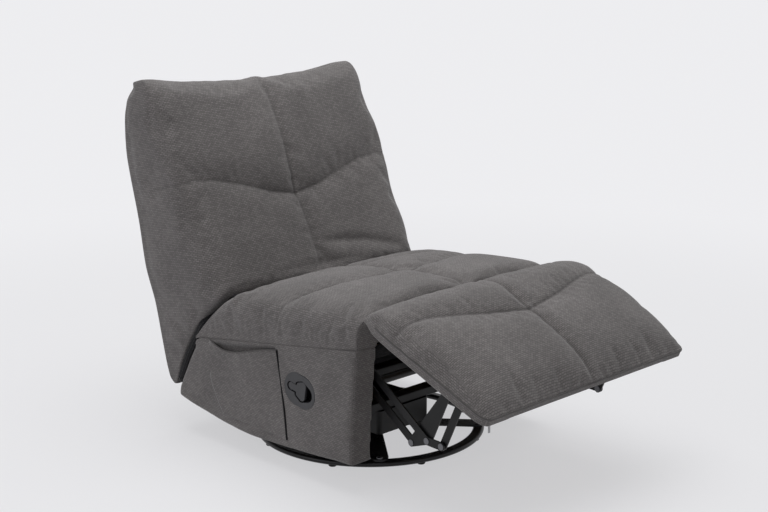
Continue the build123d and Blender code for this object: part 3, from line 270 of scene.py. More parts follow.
def painted(name, color, gloss, scuff):
    """Sprayed paint: wavy, with duller scuffs."""
    material, tree, shader = finish(name, color, gloss, Specular_IOR_Level=0.28)
    wear = object_noise(tree, 14.0, 5.0)
    tree.links.new(ramp(tree, wear, (0.35, gloss), (0.75, scuff)), shader.inputs["Roughness"])
    tone(tree, shader, object_noise(tree, 30.0), color, (0.3, 0.75), (0.8, 1.5))
    bump(tree, shader, object_noise(tree, 380.0, 1.0), 0.0004, 0.25)
    return material


def brushed(name, color, gloss, stretch):
    """Bare metal with a fine grain."""
    material, tree, shader = finish(name, color, gloss, Metallic=1.0)
    grain = object_noise(tree, 900.0, 2.0, stretch)
    tone(tree, shader, grain, color, (0.3, 0.7), (0.7, 1.2))
    dull = ramp(tree, grain, (0.2, gloss * 0.7), (0.8, min(1, gloss * 1.4)))
    tree.links.new(dull, shader.inputs["Roughness"])
    return material


def moulded(name, color, gloss, grain_size, depth):
    """Plastic, rubber or thread with a fine moulded grain."""
    material, tree, shader = finish(name, color, gloss)
    grain = object_noise(tree, grain_size, 2.0)
    tone(tree, shader, object_noise(tree, 22.0), color, (0.3, 0.85), (0.75, 1.25))
    bump(tree, shader, grain, depth, 0.5)
    return material


def plywood(name):
    """Pale timber with its grain along the chair."""
    material, tree, shader = finish(name, (0.46, 0.33, 0.2), 0.62)
    grain = object_noise(tree, 26.0, 6.0, (1.0, 0.12, 1.0))
    early, middle, late = (0.33, 0.21, 0.115), (0.47, 0.33, 0.19), (0.58, 0.44, 0.28)
    rings = ramp(tree, grain, (0.3, early), (0.5, middle), (0.72, late))
    tree.links.new(rings, shader.inputs["Base Color"])
    bump(tree, shader, grain, 0.0006, 0.4)
    return material


zip_coil = moulded("zip_coil", (0.012, 0.012, 0.013), 0.45, 900.0, 0.0001)
sewing_thread = moulded("sewing_thread", (0.115, 0.107, 0.105), 0.85, 2600.0, 0.0002)
elastic_webbing = woven(
    "elastic_webbing", (0.03, 0.028, 0.026), (0.05, 0.047, 0.044), (0.085, 0.08, 0.074), 0.7
)
FINISHES = {
    "ring_steel": painted("ring_paint", (0.008, 0.008, 0.009), 0.26, 0.42),
    "glide_rubber": moulded("foot_rubber", (0.018, 0.018, 0.018), 0.8, 700.0, 0.0003),
    "bolt_steel": brushed("dark_zinc", (0.16, 0.16, 0.17), 0.36, (1, 1, 1)),
    "ball_steel": brushed("ball_steel", (0.62, 0.62, 0.64), 0.16, (1, 1, 1)),
    "mechanism_steel": painted("mechanism_paint", (0.004, 0.004, 0.0045), 0.34, 0.5),
    "frame_timber": plywood("frame_plywood"),
    "cover_cloth": cover_cloth,
    "webbing": elastic_webbing,
    "zip_tape": lining_cloth,
    "lever_plastic": moulded("lever_plastic", (0.025, 0.025, 0.028), 0.42, 1500.0, 0.00018),
    "cable_sheath": moulded("cable_sheath", (0.015, 0.015, 0.015), 0.5, 900.0, 0.0001),
    "zip_metal": brushed("zip_nickel", (0.3, 0.3, 0.305), 0.3, (1, 0.3, 0.3)),
}
for part in frame["record"]["subparts"]:
    solid = frame["nodes"][part["node"]]
    solid.data.materials.clear()
    solid.data.materials.append(FINISHES[part["material_slot"]])
print("finishes", len(FINISHES))

# %% [markdown]
# ## Shapes of the cushions
# The legrest, seat and back are each a bag of cloth over foam. A bag is drawn as sections along
# its length: a base, two sides and a crowned top. `curve_through` eases a value between the
# stations at which it is known, and `bag` joins the sections into an even net of quads that is
# closed at both ends. An even net is what the cloth simulation likes.

# %% Section tools
GRID = 0.0075


def unit(values):
    """Holds values between 0 and 1."""
    return np.clip(values, 0, 1)


def curve_through(stations, at):
    """Eases through (place, value) stations without overshoot."""
    x, y = (np.array(c, float) for c in zip(*stations))
    slope = np.diff(y) / np.diff(x)
    same = np.sign(slope[:-1]) == np.sign(slope[1:])
    inner = np.where(same, 2 * slope[:-1] * slope[1:] / (slope[:-1] + slope[1:] + 1e-12), 0)
    lean = np.concatenate(([slope[0]], inner, [slope[-1]]))
    at = np.clip(np.asarray(at, float), x[0], x[-1])
    i = np.clip(np.searchsorted(x, at) - 1, 0, len(x) - 2)
    h = x[i + 1] - x[i]
    t = (at - x[i]) / h
    a, b = y[i] * (1 + 2 * t) * (1 - t) ** 2, y[i + 1] * t * t * (3 - 2 * t)
    return a + b + h * (lean[i] * t * (1 - t) ** 2 - lean[i + 1] * t * t * (1 - t))


def curves(at, *tables):
    """The values of several tables at one place."""
    return [curve_through(stations, at) for stations in tables]


def section(columns, rows, half, top_half, base, shoulder, crown, box):
    """One closed section as (across, up) points: base, right side, top, left side.

    The sides stand straight for the boxed share of their height, then round over to the top.
    """
    s = np.linspace(-1, 1, columns)
    low = np.stack((s * half, np.full(columns, base)), 1)
    u = np.linspace(0, 1, rows + 2)[1:-1]
    lean = unit((u - box) / (1 - box))
    reach = top_half + (half - top_half) * np.sqrt(1 - lean**2)
    right = np.stack((reach, base + (shoulder - base) * u), 1)
    top_s = s[::-1]
    rise = shoulder + (1 - np.abs(top_s) ** 4) * (crown - shoulder)
    high = np.stack((top_s * top_half, rise), 1)
    left = right[::-1] * (-1, 1)
    return np.concatenate((low, right, high, left))


def mesh_object(name, points, faces):
    """A mesh with its faces turned outwards, in the scene."""
    mesh = bpy.data.meshes.new(name)
    mesh.from_pydata([tuple(map(float, p)) for p in points], [], [tuple(map(int, f)) for f in faces])
    tidy = bmesh.new()
    tidy.from_mesh(mesh)
    bmesh.ops.recalc_face_normals(tidy, faces=tidy.faces)
    tidy.to_mesh(mesh)
    tidy.free()
    return stand(name, mesh)


def quads(grid):
    """The faces of a grid of point numbers."""
    corners = (grid[:-1, :-1], grid[:-1, 1:], grid[1:, 1:], grid[1:, :-1])
    return np.stack(corners, 2).reshape(-1, 4).tolist()


def bag(name, rings, columns, rows):
    """Joins sections into a closed net of quads and fills both ends."""
    count, around = rings.shape[:2]
    points = [rings.reshape(-1, 3)]
    total = count * around
    index = np.arange(total).reshape(count, around)
    faces = quads(np.concatenate((index, index[:, :1]), 1))
    for k, flip in ((0, True), (count - 1, False)):
        first = k * around
        grid = np.zeros((rows + 2, columns), int)
        grid[0] = first + np.arange(columns)
        grid[-1] = first + columns + rows + np.arange(columns)[::-1]
        grid[1:-1, -1] = first + columns + np.arange(rows)
        grid[1:-1, 0] = first + around - 1 - np.arange(rows)
        ring = rings[k]
        for r in range(1, rows + 1):
            t = r / (rows + 1)
            a, b = ring[grid[0] - first], ring[grid[-1] - first]
            line = a + (b - a) * t
            s = np.linspace(0, 1, columns)[:, None]
            ends = ring[grid[r, 0] - first], ring[grid[r, -1] - first]
            line = line + (1 - s) * (ends[0] - line[0]) + s * (ends[1] - line[-1])
            grid[r, 1:-1] = total + np.arange(columns - 2)
            points.append(line[1:-1])
            total += columns - 2
        faces += [quad if flip else quad[::-1] for quad in quads(grid)]
    return mesh_object(name, np.concatenate(points), faces)


def panel(name, grid, thickness):
    """A thin closed sheet over a grid of points, thickened along its normals."""
    rows, columns = grid.shape[:2]
    normal = np.cross(np.gradient(grid, axis=0), np.gradient(grid, axis=1))
    normal /= np.linalg.norm(normal, axis=2, keepdims=True)
    points = np.concatenate((grid.reshape(-1, 3), (grid - normal * thickness).reshape(-1, 3)))
    count = rows * columns
    index = np.arange(count).reshape(rows, columns)
    faces = []
    for quad in quads(index):
        faces += [quad, [q + count for q in quad[::-1]]]
    rim = [*index[0], *index[1:, -1], *index[-1, -2::-1], *index[-2:0:-1, 0]]
    for a, b in zip(rim, rim[1:] + rim[:1]):
        faces.append((b, a, a + count, b + count))
    obj = mesh_object(name, points, faces)
    obj.data.shade_smooth()
    return obj


def points_of(obj):
    flat = np.zeros(len(obj.data.vertices) * 3)
    obj.data.vertices.foreach_get("co", flat)
    return flat.reshape(-1, 3)


def normals_of(obj):
    return np.array([v.normal for v in obj.data.vertices], float)


def move_points(obj, points):
    obj.data.vertices.foreach_set("co", np.ascontiguousarray(points, float).ravel())
    obj.data.update()


print("net of", GRID * 1000, "mm")

# %% [markdown]
# ## Seams
# A sewn line pulls the cover down into the foam. Each line is a row of (across, along, depth)
# points on the cushion's own chart. `sewn_depth` gives, for every point of the net, how deep the
# lines pull it, fading with distance.


# %% Seam tools
SEWN_HALF = 0.0045
GROOVE_HALF = 0.0036


def line_distance(chart, line):
    """Distance of chart points to a polyline, the depth there, and the way along it."""
    line = np.array(line, float)
    best = np.full(len(chart), 1e9)
    depth = np.zeros(len(chart))
    along = np.zeros(len(chart))
    run = 0.0
    for a, b in zip(line[:-1], line[1:]):
        d = b[:2] - a[:2]
        length = np.hypot(*d)
        t = unit(((chart - a[:2]) @ d) / (length**2))
        far = np.hypot(*(chart - a[:2] - t[:, None] * d).T)
        near = far < best
        best = np.where(near, far, best)
        depth = np.where(near, a[2] + t * (b[2] - a[2]), depth)
        along = np.where(near, run + t * length, along)
        run += length
    return best, depth, along


def sewn_depth(chart, lines, reach):
    """How deep the lines pull each chart point, fading over the reach."""
    pull = np.zeros(len(chart))
    for line in lines:
        far, depth, _ = line_distance(chart, line)
        fade = 0.4 * np.exp(-((far / reach) ** 2)) + 0.6 * np.exp(-far / reach / 0.45)
        pull = np.maximum(pull, depth * fade)
    return pull


def on_seam(chart, lines, facing, least=0.5):
    """The points that the stitches hold."""
    nearest = np.min([line_distance(chart, line)[0] for line in lines], axis=0)
    return (nearest < SEWN_HALF) & (facing > least)


def mirrored(line):
    """A line drawn from the middle outwards, and its mirror."""
    return [(-x, y, d) for x, y, d in reversed(line[1:])] + list(line)


print("seams hold the cover within", SEWN_HALF * 1000, "mm")

# %% [markdown]
# ## Puffing up with cloth
# The cloth simulation fills each bag with air. The base and the sewn lines are pinned, so the
# panels swell between them and the cover drags into small folds beside the seams, as stuffed
# upholstery does. The travel is capped, the result is kept as the mesh, and the simulation is
# taken off again.


# %% Cloth
PUFF_FRAMES = 18
SIDEWAYS = 0.72
ENDWAYS = 0.8
GROOVE_DEEP = 0.0032
PUCKER_REACH = 0.02
CLOTH = {
    "quality": 4,
    "mass": 0.3,
    "tension_stiffness": 18,
    "compression_stiffness": 10,
    "shear_stiffness": 6,
    "bending_stiffness": 0.6,
    "shrink_min": -0.025,
    "use_pressure": True,
    "vertex_group_mass": "sewn",
}


def puff(obj, pinned, pressure, cap):
    """Inflates a bag with its sewn points held."""
    start = points_of(obj)
    group = obj.vertex_groups.new(name="sewn")
    group.add([int(i) for i in np.where(pinned)[0]], 1.0, "REPLACE")
    cloth = obj.modifiers.new("puff", "CLOTH")
    for key, value in CLOTH.items():
        setattr(cloth.settings, key, value)
    cloth.settings.uniform_pressure_force = pressure
    cloth.settings.effector_weights.gravity = 0
    cloth.collision_settings.use_collision = False
    cloth.point_cache.frame_start = 1
    cloth.point_cache.frame_end = PUFF_FRAMES
    for step in range(1, PUFF_FRAMES + 1):
        scene.frame_set(step)
    seen = obj.evaluated_get(bpy.context.evaluated_depsgraph_get())
    end = np.array([v.co for v in seen.data.vertices], float)
    obj.modifiers.remove(cloth)
    scene.frame_set(1)
    move = end - start
    far = np.linalg.norm(move, axis=1)
    held = cap * np.tanh(far / cap)
    move *= (held / np.maximum(far, 1e-9))[:, None]
    move_points(obj, start + move)
    print(f"{obj.name} pushed {far.mean() * 1000:.1f} mm on average, kept {held.max() * 1000:.1f} at most")


def keep_result(obj):
    """Keeps what the modifiers make as the object's plain mesh."""
    seen = obj.evaluated_get(bpy.context.evaluated_depsgraph_get())
    mesh = bpy.data.meshes.new_from_object(seen)
    obj.modifiers.clear()
    old, obj.data = obj.data, mesh
    bpy.data.meshes.remove(old)
    mesh.name = obj.name
    mesh.shade_smooth()
    return obj


def rounded(obj):
    """Applies one level of subdivision surface."""
    mod = obj.modifiers.new("rounded", "SUBSURF")
    mod.levels = mod.render_levels = 1
    keep_result(obj)


def set_attribute(obj, name, kind, values):
    layer = obj.data.attributes.get(name) or obj.data.attributes.new(name, kind, "POINT")
    key = "vector" if kind == "FLOAT_VECTOR" else "value"
    layer.data.foreach_set(key, np.ascontiguousarray(values, np.float32).ravel())


def store_weave(obj, across, along):
    """Stores the way across and along the cloth."""
    set_attribute(obj, "weave", "FLOAT_VECTOR", np.stack((across, along, 0 * along), 1))


def flat_weave(obj, across, along):
    """Takes two axes of space for the weave of a flat cloth."""
    co = points_of(obj)
    store_weave(obj, co[:, across], co[:, along])


def lay_weave(obj, along):
    """Lays the weave over a cushion. Faces that look sideways or endways use depth."""
    co, normal = points_of(obj), normals_of(obj)
    side = np.abs(normal[:, 0]) > SIDEWAYS
    across = np.where(side, co @ np.array(along[1]), co[:, 0])
    way = np.where(side, co @ np.array(along[2]), co @ np.array(along[0]))
    ahead = np.array(along[0]) / np.linalg.norm(along[0])
    endways = np.abs(normal @ ahead) > ENDWAYS
    way = np.where(endways, co @ np.cross((1, 0, 0), ahead), way)
    store_weave(obj, across, way)


def groove(obj, chart, facing, lines, puckers):
    """Presses the fine sewn lines into a finished cover, with short puckers across them, and stores painted shade
    for the bottom of each line.
    """
    co, normal = points_of(obj), normals_of(obj)
    drop = np.zeros(len(co))
    seam = np.zeros(len(co))
    for n, line in enumerate(lines):
        far, depth, way = line_distance(chart, line)
        near = facing * np.clip(depth / 0.012, 0.25, 1.0)
        drop += near * GROOVE_DEEP * np.exp(-((far / GROOVE_HALF) ** 2))
        wave = np.sin(way * 290 + 2.3 * np.sin(way * 61 + n)) * np.sin(way * 37 + n * 1.7)
        drop += near * puckers * wave * np.exp(-far / PUCKER_REACH)
        # Painted shade for the bottom of the groove, which the cloth's colour reads.
        seam = np.maximum(seam, near * np.exp(-((far / (GROOVE_HALF * 0.8)) ** 2)))
    move_points(obj, co - normal * drop[:, None])
    set_attribute(obj, "seam", "FLOAT", unit(seam) * 0.75)


def dress(obj, material):
    obj.data.materials.clear()
    obj.data.materials.append(material)


print("cloth ready, quick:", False)

# %% [markdown]
# ## Cords, stitches and straps with Geometry Nodes
# Welts, piping, stitches, zip teeth and webbing all repeat along a path, so a small node graph
# makes each of them from a row of points. The numbers are inputs of the graph: the same graph
# sews a long stitch or sets a row of zip teeth. The result is kept as a plain mesh.


# %% Node graphs
DROP_REACH = 0.3
LANDING = -0.3
STITCH_OFFSETS = (-0.0042, 0.0042)
STITCH_START, STITCH_LIFT = 0.12, 0.0002
ROW_PITCH = 0.004


def graph(name, **numbers):
    """A Geometry Nodes graph with a material input and named number inputs."""
    tree = bpy.data.node_groups.new(name, "GeometryNodeTree")
    for key, way in (("Geometry", "OUTPUT"), ("Geometry", "INPUT"), ("Material", "INPUT")):
        tree.interface.new_socket(key, in_out=way, socket_type="NodeSocket" + key)
    for key, value in numbers.items():
        tree.interface.new_socket(key, in_out="INPUT", socket_type="NodeSocketFloat").default_value = value
    return tree, node(tree, "NodeGroupInput").outputs


def close_graph(tree, given, made):
    """Ends a graph: real geometry, its material, the output."""
    real = first_of(tree, "GeometryNodeRealizeInstances", {"Geometry": made})
    dressed = {"Geometry": real, "Material": given["Material"]}
    node(tree, "NodeGroupOutput", {"Geometry": first_of(tree, "GeometryNodeSetMaterial", dressed)})
    return tree


tree, given = graph("cord", Radius=0.002)
path = first_of(tree, "GeometryNodeMeshToCurve", {"Mesh": given["Geometry"]})
ring = first_of(tree, "GeometryNodeCurvePrimitiveCircle", {"Resolution": 8, "Radius": given["Radius"]})
tube = first_of(tree, "GeometryNodeCurveToMesh", {"Curve": path, "Profile Curve": ring, "Fill Caps": True})
cord_graph = close_graph(tree, given, tube)

tree, given = graph("beads", Pitch=0.0048, Length=0.0033, Width=0.0009, Height=0.0008)
path = first_of(tree, "GeometryNodeMeshToCurve", {"Mesh": given["Geometry"]})
spaced = {"Curve": path, "Length": given["Pitch"]}
marks = first_of(tree, "GeometryNodeResampleCurve", spaced, mode="LENGTH")
along = first_of(tree, "GeometryNodeInputTangent")
turn = first_of(tree, "FunctionNodeAlignRotationToVector", {"Vector": along}, axis="X")
ball = first_of(tree, "GeometryNodeMeshUVSphere", {"Segments": 6, "Rings": 4, "Radius": 0.5})
size = first_of(tree, "ShaderNodeCombineXYZ", {0: given["Length"], 1: given["Width"], 2: given["Height"]})
bead = first_of(tree, "GeometryNodeTransform", {"Geometry": ball, "Scale": size})
sown = {"Points": marks, "Instance": bead, "Rotation": turn}
bead_graph = close_graph(tree, given, first_of(tree, "GeometryNodeInstanceOnPoints", sown))

tree, given = graph("straps", Count=6, Step=0.1, Fall=0.01)
step = first_of(tree, "ShaderNodeCombineXYZ", {1: given["Step"], 2: given["Fall"]})
spaced = {"Count": given["Count"], "Offset": step}
spots = first_of(tree, "GeometryNodeMeshLine", spaced, mode="OFFSET")
laid = {"Points": spots, "Instance": given["Geometry"]}
strap_graph = close_graph(tree, given, first_of(tree, "GeometryNodeInstanceOnPoints", laid))


def run_graph(obj, tree, **values):
    """Runs a graph on an object with named inputs and keeps the result as its mesh."""
    mod = obj.modifiers.new(tree.name, "NODES")
    mod.node_group = tree
    for item in tree.interface.items_tree:
        if item.item_type == "SOCKET" and item.in_out == "INPUT" and item.name in values:
            mod[item.identifier] = values[item.name]
    return keep_result(obj)


def rows_object(name, rows):
    """Rows of points as one mesh of edges."""
    points, edges = [], []
    for row in rows:
        edges += [(len(points) + i, len(points) + i + 1) for i in range(len(row) - 1)]
        points += [tuple(map(float, p)) for p in row]
    mesh = bpy.data.meshes.new(name)
    mesh.from_pydata(points, edges, [])
    return stand(name, mesh)


def trim(name, rows, tree, material, slot, body, **values):
    """Makes rows of points into cord or beads that ride on a body."""
    made = run_graph(rows_object(name, rows), tree, Material=material, **values)
    dress(made, material)
    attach(made, body)
    return made


def beside(line, offset):
    """A chart line resampled evenly and moved sideways."""
    line = np.array(line, float)[:, :2]
    run = np.concatenate(([0], np.cumsum(np.hypot(*np.diff(line, axis=0).T))))
    at = np.linspace(0, run[-1], max(3, int(run[-1] / ROW_PITCH)))
    line = np.stack([np.interp(at, run, line[:, k]) for k in (0, 1)], 1)
    for _ in range(6):
        line[1:-1] = (line[:-2] + 2 * line[1:-1] + line[2:]) / 4
    way = np.gradient(line, axis=0)
    way /= np.linalg.norm(way, axis=1, keepdims=True)
    return line + offset * np.stack((-way[:, 1], way[:, 0]), 1)


def drop_on(obj, starts, directions, lift):
    """Drops points onto an object and returns runs of those that land, lifted off it."""
    tree = BVHTree.FromObject(obj, bpy.context.evaluated_depsgraph_get())
    runs, run = [], []
    for start, way in zip(starts, directions):
        hit, normal, _, _ = tree.ray_cast(Vector(start), Vector(way), DROP_REACH)
        if hit is None or normal.dot(Vector(way)) > LANDING:
            runs.append(run)
            run = []
        else:
            run.append(hit + normal * lift)
    runs.append(run)
    return [r for r in runs if len(r) > 2]


def sew(name, cover, lines, to_space, way, body):
    """Sews a row of stitches along both sides of chart lines on a cover."""
    rows = []
    for line in lines:
        for offset in STITCH_OFFSETS:
            starts = to_space(beside(line, offset)) - STITCH_START * np.array(way)
            rows += drop_on(cover, starts, np.tile(way, (len(starts), 1)), STITCH_LIFT)
    stitches = trim(name, rows, bead_graph, sewing_thread, "cover_cloth", body)
    print(name, faces_of(stitches), "faces")


print("graphs", cord_graph.name, bead_graph.name, strap_graph.name)

# %% [markdown]
# ## Legrest cushion
# A wide flat pad with a lengthwise seam and a cross seam that dips towards the toe in the middle.
# Its sections stand square to the pad, which slopes 22 degrees down from the seat.

# %% Legrest
HINGE_Y, HINGE_Z = -0.352 + SWIVEL, 0.455
PAD_TILT = math.radians(22)
PAD_OUT = np.array((0, -math.cos(PAD_TILT), -math.sin(PAD_TILT)))
PAD_UP = np.array((0, -math.sin(PAD_TILT), math.cos(PAD_TILT)))
PAD_ORIGIN = np.array((0, HINGE_Y, HINGE_Z))


def pad_chart(co):
    """Points as (across, out) on the hinge's plane, and their height over it."""
    local = co - PAD_ORIGIN
    return np.stack((local[:, 0], local @ PAD_OUT), 1), local @ PAD_UP


def on_pad(chart):
    """Chart points on the hinge's own plane, as points in space."""
    return PAD_ORIGIN + np.outer(chart[:, 0], (1, 0, 0)) + np.outer(chart[:, 1], PAD_OUT)


PAD_LOW = ((0, -0.003), (0.02, -0.005), (0.055, -0.0135), (0.39, -0.0135), (0.4225, -0.0115))
PAD_AT = (0, 0.035, 0.1, 0.2, 0.3, 0.36, 0.4, 0.4225)
PAD_SHOULDER = tuple(zip(PAD_AT, (0.008, 0.038, 0.060, 0.060, 0.048, 0.033, 0.018, 0.008)))
PAD_CROWN = tuple(zip(PAD_AT, (0.011, 0.055, 0.076, 0.075, 0.063, 0.048, 0.030, 0.013)))
PAD_HALF_AT = (0, 0.04, 0.12, 0.3, 0.39, 0.412, 0.4225)
PAD_HALF = tuple(zip(PAD_HALF_AT, (0.371, 0.379, 0.3845, 0.3845, 0.383, 0.379, 0.368)))
PAD_INSET = ((0, 0.005), (0.05, 0.03), (0.12, 0.042), (0.3, 0.036), (0.4, 0.014), (0.4225, 0.004))
PAD_BOXED_TO = 0.008
PAD_EDGE = 0.012
BOARD_TOP = -0.0098
BOARD_HALF = 0.295
pad_columns, pad_rows = int(0.75 / GRID), 9
pad_at = np.concatenate(([0.0075, 0.010], np.arange(0.016, 0.412, GRID), [0.415, 0.4195, 0.4225]))
pad_rings = []
for a in pad_at:
    base, shoulder, crown, half, inset = curves(a, PAD_LOW, PAD_SHOULDER, PAD_CROWN, PAD_HALF, PAD_INSET)
    boxed = min(0.9, (PAD_BOXED_TO - base) / (shoulder - base))
    flat = section(pad_columns, pad_rows, half, half - inset, base, shoulder, crown, boxed)
    on_board = (flat[:, 1] < BOARD_TOP - 0.0001) & (np.abs(flat[:, 0]) < BOARD_HALF)
    flat[:, 1] = np.where(on_board, BOARD_TOP, flat[:, 1])
    place = PAD_ORIGIN + np.outer(flat[:, 0], (1, 0, 0)) + np.outer(flat[:, 1], PAD_UP) + a * PAD_OUT
    pad_rings.append(place)
legrest_cover = bag("legrest_cover", np.array(pad_rings), pad_columns, pad_rows)
PAD_SEAMS = [
    [(0, 0.004, 0.002), (0, 0.1, 0.005), (0, 0.187, 0.012), (0, 0.3, 0.006), (0, 0.43, 0.002)],
    mirrored([
        (0, 0.187, 0.012), (0.13, 0.165, 0.009), (0.234, 0.137, 0.007), (0.304, 0.119, 0.006),
        (0.39, 0.116, 0.004),
    ]),
]
co = points_of(legrest_cover)
chart, up = pad_chart(co)
facing = unit((up - PAD_EDGE) / PAD_EDGE)
pull = sewn_depth(chart, PAD_SEAMS, reach=0.026) * facing
move_points(legrest_cover, co - pull[:, None] * PAD_UP)
pinned = (up < PAD_BOXED_TO) | on_seam(chart, PAD_SEAMS, facing)
puff(legrest_cover, pinned, pressure=2.6, cap=0.007)
rounded(legrest_cover)
co = points_of(legrest_cover)
chart, up = pad_chart(co)
groove(legrest_cover, chart, unit(up / 0.01), PAD_SEAMS, puckers=0.0008)
lay_weave(legrest_cover, (PAD_OUT, PAD_OUT, PAD_UP))
dress(legrest_cover, cover_cloth)
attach(legrest_cover, "legrest")
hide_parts("legrest_cushion")
sew("legrest_stitches", legrest_cover, PAD_SEAMS, on_pad, -PAD_UP, "legrest")
WELT_HALF, WELT_TOE = 0.38, 0.425
WELT_CENTRE, WELT_TURN = (0.34, 0.385), 0.04
WELT_HEIGHT = ((0.05, 0.0075), (0.12, 0.0085), (0.38, 0.0075), (0.43, 0.006))
turns = np.linspace(0, math.pi / 2, 9)
corner = (np.array(WELT_CENTRE) + WELT_TURN * np.stack((np.sin(turns), np.cos(turns)), 1))[::-1]
flank = np.stack((np.full(60, WELT_HALF), np.linspace(0.05, 0.38, 60)), 1)
edge = np.concatenate((flank, corner))
toe = np.stack((np.linspace(0.335, -0.335, 90), np.full(90, WELT_TOE)), 1)
edge = np.concatenate((edge, toe, edge[::-1] * (-1, 1)))
way = np.gradient(edge, axis=0)
way /= np.linalg.norm(way, axis=1, keepdims=True)
outward = np.outer(way[:, 1], (1, 0, 0)) - np.outer(way[:, 0], PAD_OUT)
starts = on_pad(edge) + np.outer(curve_through(WELT_HEIGHT, edge[:, 1]), PAD_UP)
welt = drop_on(legrest_cover, starts + 0.06 * outward, -outward, 0.0003)
trim("legrest_welt", welt, cord_graph, cover_cloth, "cover_cloth", "legrest", Radius=0.0021)
print("legrest", faces_of(legrest_cover), "faces, welt runs", len(welt))

# %% [markdown]
# ## Seat cushion
# The seat is deeper. It is flat where it rests on the boards, crowned on top, and its rear is cut
# to the curve of the back, so the two can pass as the back reclines. Its front under the hinge is
# set back, to leave room for the folded legrest. Loose folds lie where it meets the back.

# %% Seat
SEAT_SLOPE = 0.148
SEAT_BOARD_Y, SEAT_BOARD_Z = 0.337, 0.372
SEAT_LIFT = 0.0006
ARC_COUNT = 60


def arc_points(first, through, last):
    """Points of the circle arc through three (y, z) points."""
    a, b, c = (complex(*p) for p in (first, through, last))
    w = (c - a) / (b - a)
    centre = (b - a) * (w - abs(w) ** 2) / (2j * w.imag) + a
    turn = np.unwrap(np.angle(np.array([a, b, c]) - centre))
    line = centre + abs(a - centre) * np.exp(1j * np.linspace(turn[0], turn[2], ARC_COUNT))
    return np.stack((line.real, line.imag), 1)


def seat_base(y):
    """Height of the boards that the seat rests on."""
    return SEAT_BOARD_Z - SEAT_SLOPE * (y - SWIVEL + SEAT_BOARD_Y) + SEAT_LIFT


def in_seat(chart):
    """Chart points on a level plane inside the seat, as points in space."""
    return np.stack((chart[:, 0], chart[:, 1] + SWIVEL, np.full(len(chart), 0.45)), 1)


seat_back_line = arc_points((0.156, 0.408), (0.269, 0.3024), (0.363, 0.140)) + (SWIVEL, 0)
seat_columns, seat_rows = int(0.75 / GRID), 13
SEAT_FRONT = -0.3455 + SWIVEL
SEAT_SHOULDER_AT = (-0.3455, -0.29, -0.13, 0.02, 0.12, 0.156, 0.3)
SEAT_SHOULDER = tuple(zip(SEAT_SHOULDER_AT, (0.449, 0.457, 0.447, 0.435, 0.421, 0.402, 0.31)))
SEAT_CROWN_AT = (-0.3455, -0.3, -0.2, -0.06, 0.06, 0.12, 0.156, 0.3)
SEAT_CROWN = tuple(zip(SEAT_CROWN_AT, (0.464, 0.479, 0.480, 0.467, 0.449, 0.431, 0.404, 0.31)))
SEAT_HALF = ((-0.3455, 0.3735), (-0.25, 0.3765), (0.05, 0.3775), (0.29, 0.3735))
SEAT_INSET = ((-0.3455, 0.036), (-0.2, 0.046), (0.0, 0.044), (0.10, 0.026), (0.16, 0.014), (0.29, 0.005))
SEAT_BOXED = ((-0.3455, 0.3), (0.0, 0.3), (0.12, 0.55), (0.3, 0.7))
NOSE_TOP, NOSE_DEEP = 0.449, 0.024
NOSE_HALF = 0.296
NOSE_BACK, NOSE_BACK_LESS = 0.0218, 0.0125
NOSE_REACH = 0.10
LIP_X, LIP_DROP = 0.364, 0.006
seat_at = np.concatenate(
    (np.arange(0, 0.50, GRID) + SEAT_FRONT + 0.002, SEAT_FRONT + np.linspace(0.502, 0.632, 24))
)
seat_rings = []
for y in seat_at:
    base = seat_base(y)
    limit = 1.0
    if y > seat_back_line[0, 0]:
        limit = np.interp(y, seat_back_line[:, 0], seat_back_line[:, 1])
    s = y - SWIVEL
    shoulder, crown = curves(s, SEAT_SHOULDER, SEAT_CROWN)
    half, inset, boxed = curves(s, SEAT_HALF, SEAT_INSET, SEAT_BOXED)
    crown = min(crown, limit - 0.004)
    shoulder = min(shoulder, crown - 0.001)
    shoulder, crown = max(shoulder, base + 0.002), max(crown, base + 0.003)
    flat = section(seat_columns, seat_rows, half, half - inset, base, shoulder, crown, boxed)
    corner = unit((np.abs(flat[:, 0]) - NOSE_HALF) / 0.01)
    lip = unit((np.abs(flat[:, 0]) - LIP_X) / 0.008)
    lip = np.maximum(lip, corner * unit((SEAT_FRONT + 0.02 - y) / 0.01))
    flat[:, 1] -= LIP_DROP * lip * (flat[:, 1] < base + 0.0005)
    back_by = NOSE_BACK - NOSE_BACK_LESS * corner
    front = SEAT_FRONT + back_by * unit((NOSE_TOP - flat[:, 1]) / NOSE_DEEP)
    reach = SEAT_FRONT + NOSE_REACH
    place = np.where(y < reach, front + (y - SEAT_FRONT) * (reach - front) / (reach - SEAT_FRONT), y)
    seat_rings.append(np.stack((flat[:, 0], place, flat[:, 1]), 1))
seat_cover = bag("seat_cover", np.array(seat_rings), seat_columns, seat_rows)
SEAT_SEAMS = [
    [(0, -0.35, 0.003), (0, -0.24, 0.005), (0, -0.130, 0.014), (0, -0.02, 0.005), (0, 0.10, 0.002)],
    mirrored([
        (0, -0.130, 0.014), (0.10, -0.124, 0.009), (0.19, -0.102, 0.007), (0.30, -0.074, 0.006),
        (0.385, -0.05, 0.003),
    ]),
]
SEAT_FOLDS = [
    [(-0.12, 0.062, 0.003), (0.03, 0.042, 0.009), (0.2, 0.015, 0.009), (0.33, -0.020, 0.003)],
    [(0.02, 0.093, 0.002), (0.16, 0.076, 0.008), (0.31, 0.038, 0.004)],
    [(-0.33, 0.058, 0.003), (-0.24, 0.073, 0.004), (-0.15, 0.093, 0.002)],
]
co = points_of(seat_cover)
facing = unit((co[:, 2] - seat_base(co[:, 1]) - 0.028) / 0.02)
chart = co[:, :2] - (0, SWIVEL)
sewn, folded = sewn_depth(chart, SEAT_SEAMS, reach=0.03), sewn_depth(chart, SEAT_FOLDS, reach=0.012)
pull = np.maximum(sewn, folded) * facing
move_points(seat_cover, co - pull[:, None] * np.array((0, 0, 1)))
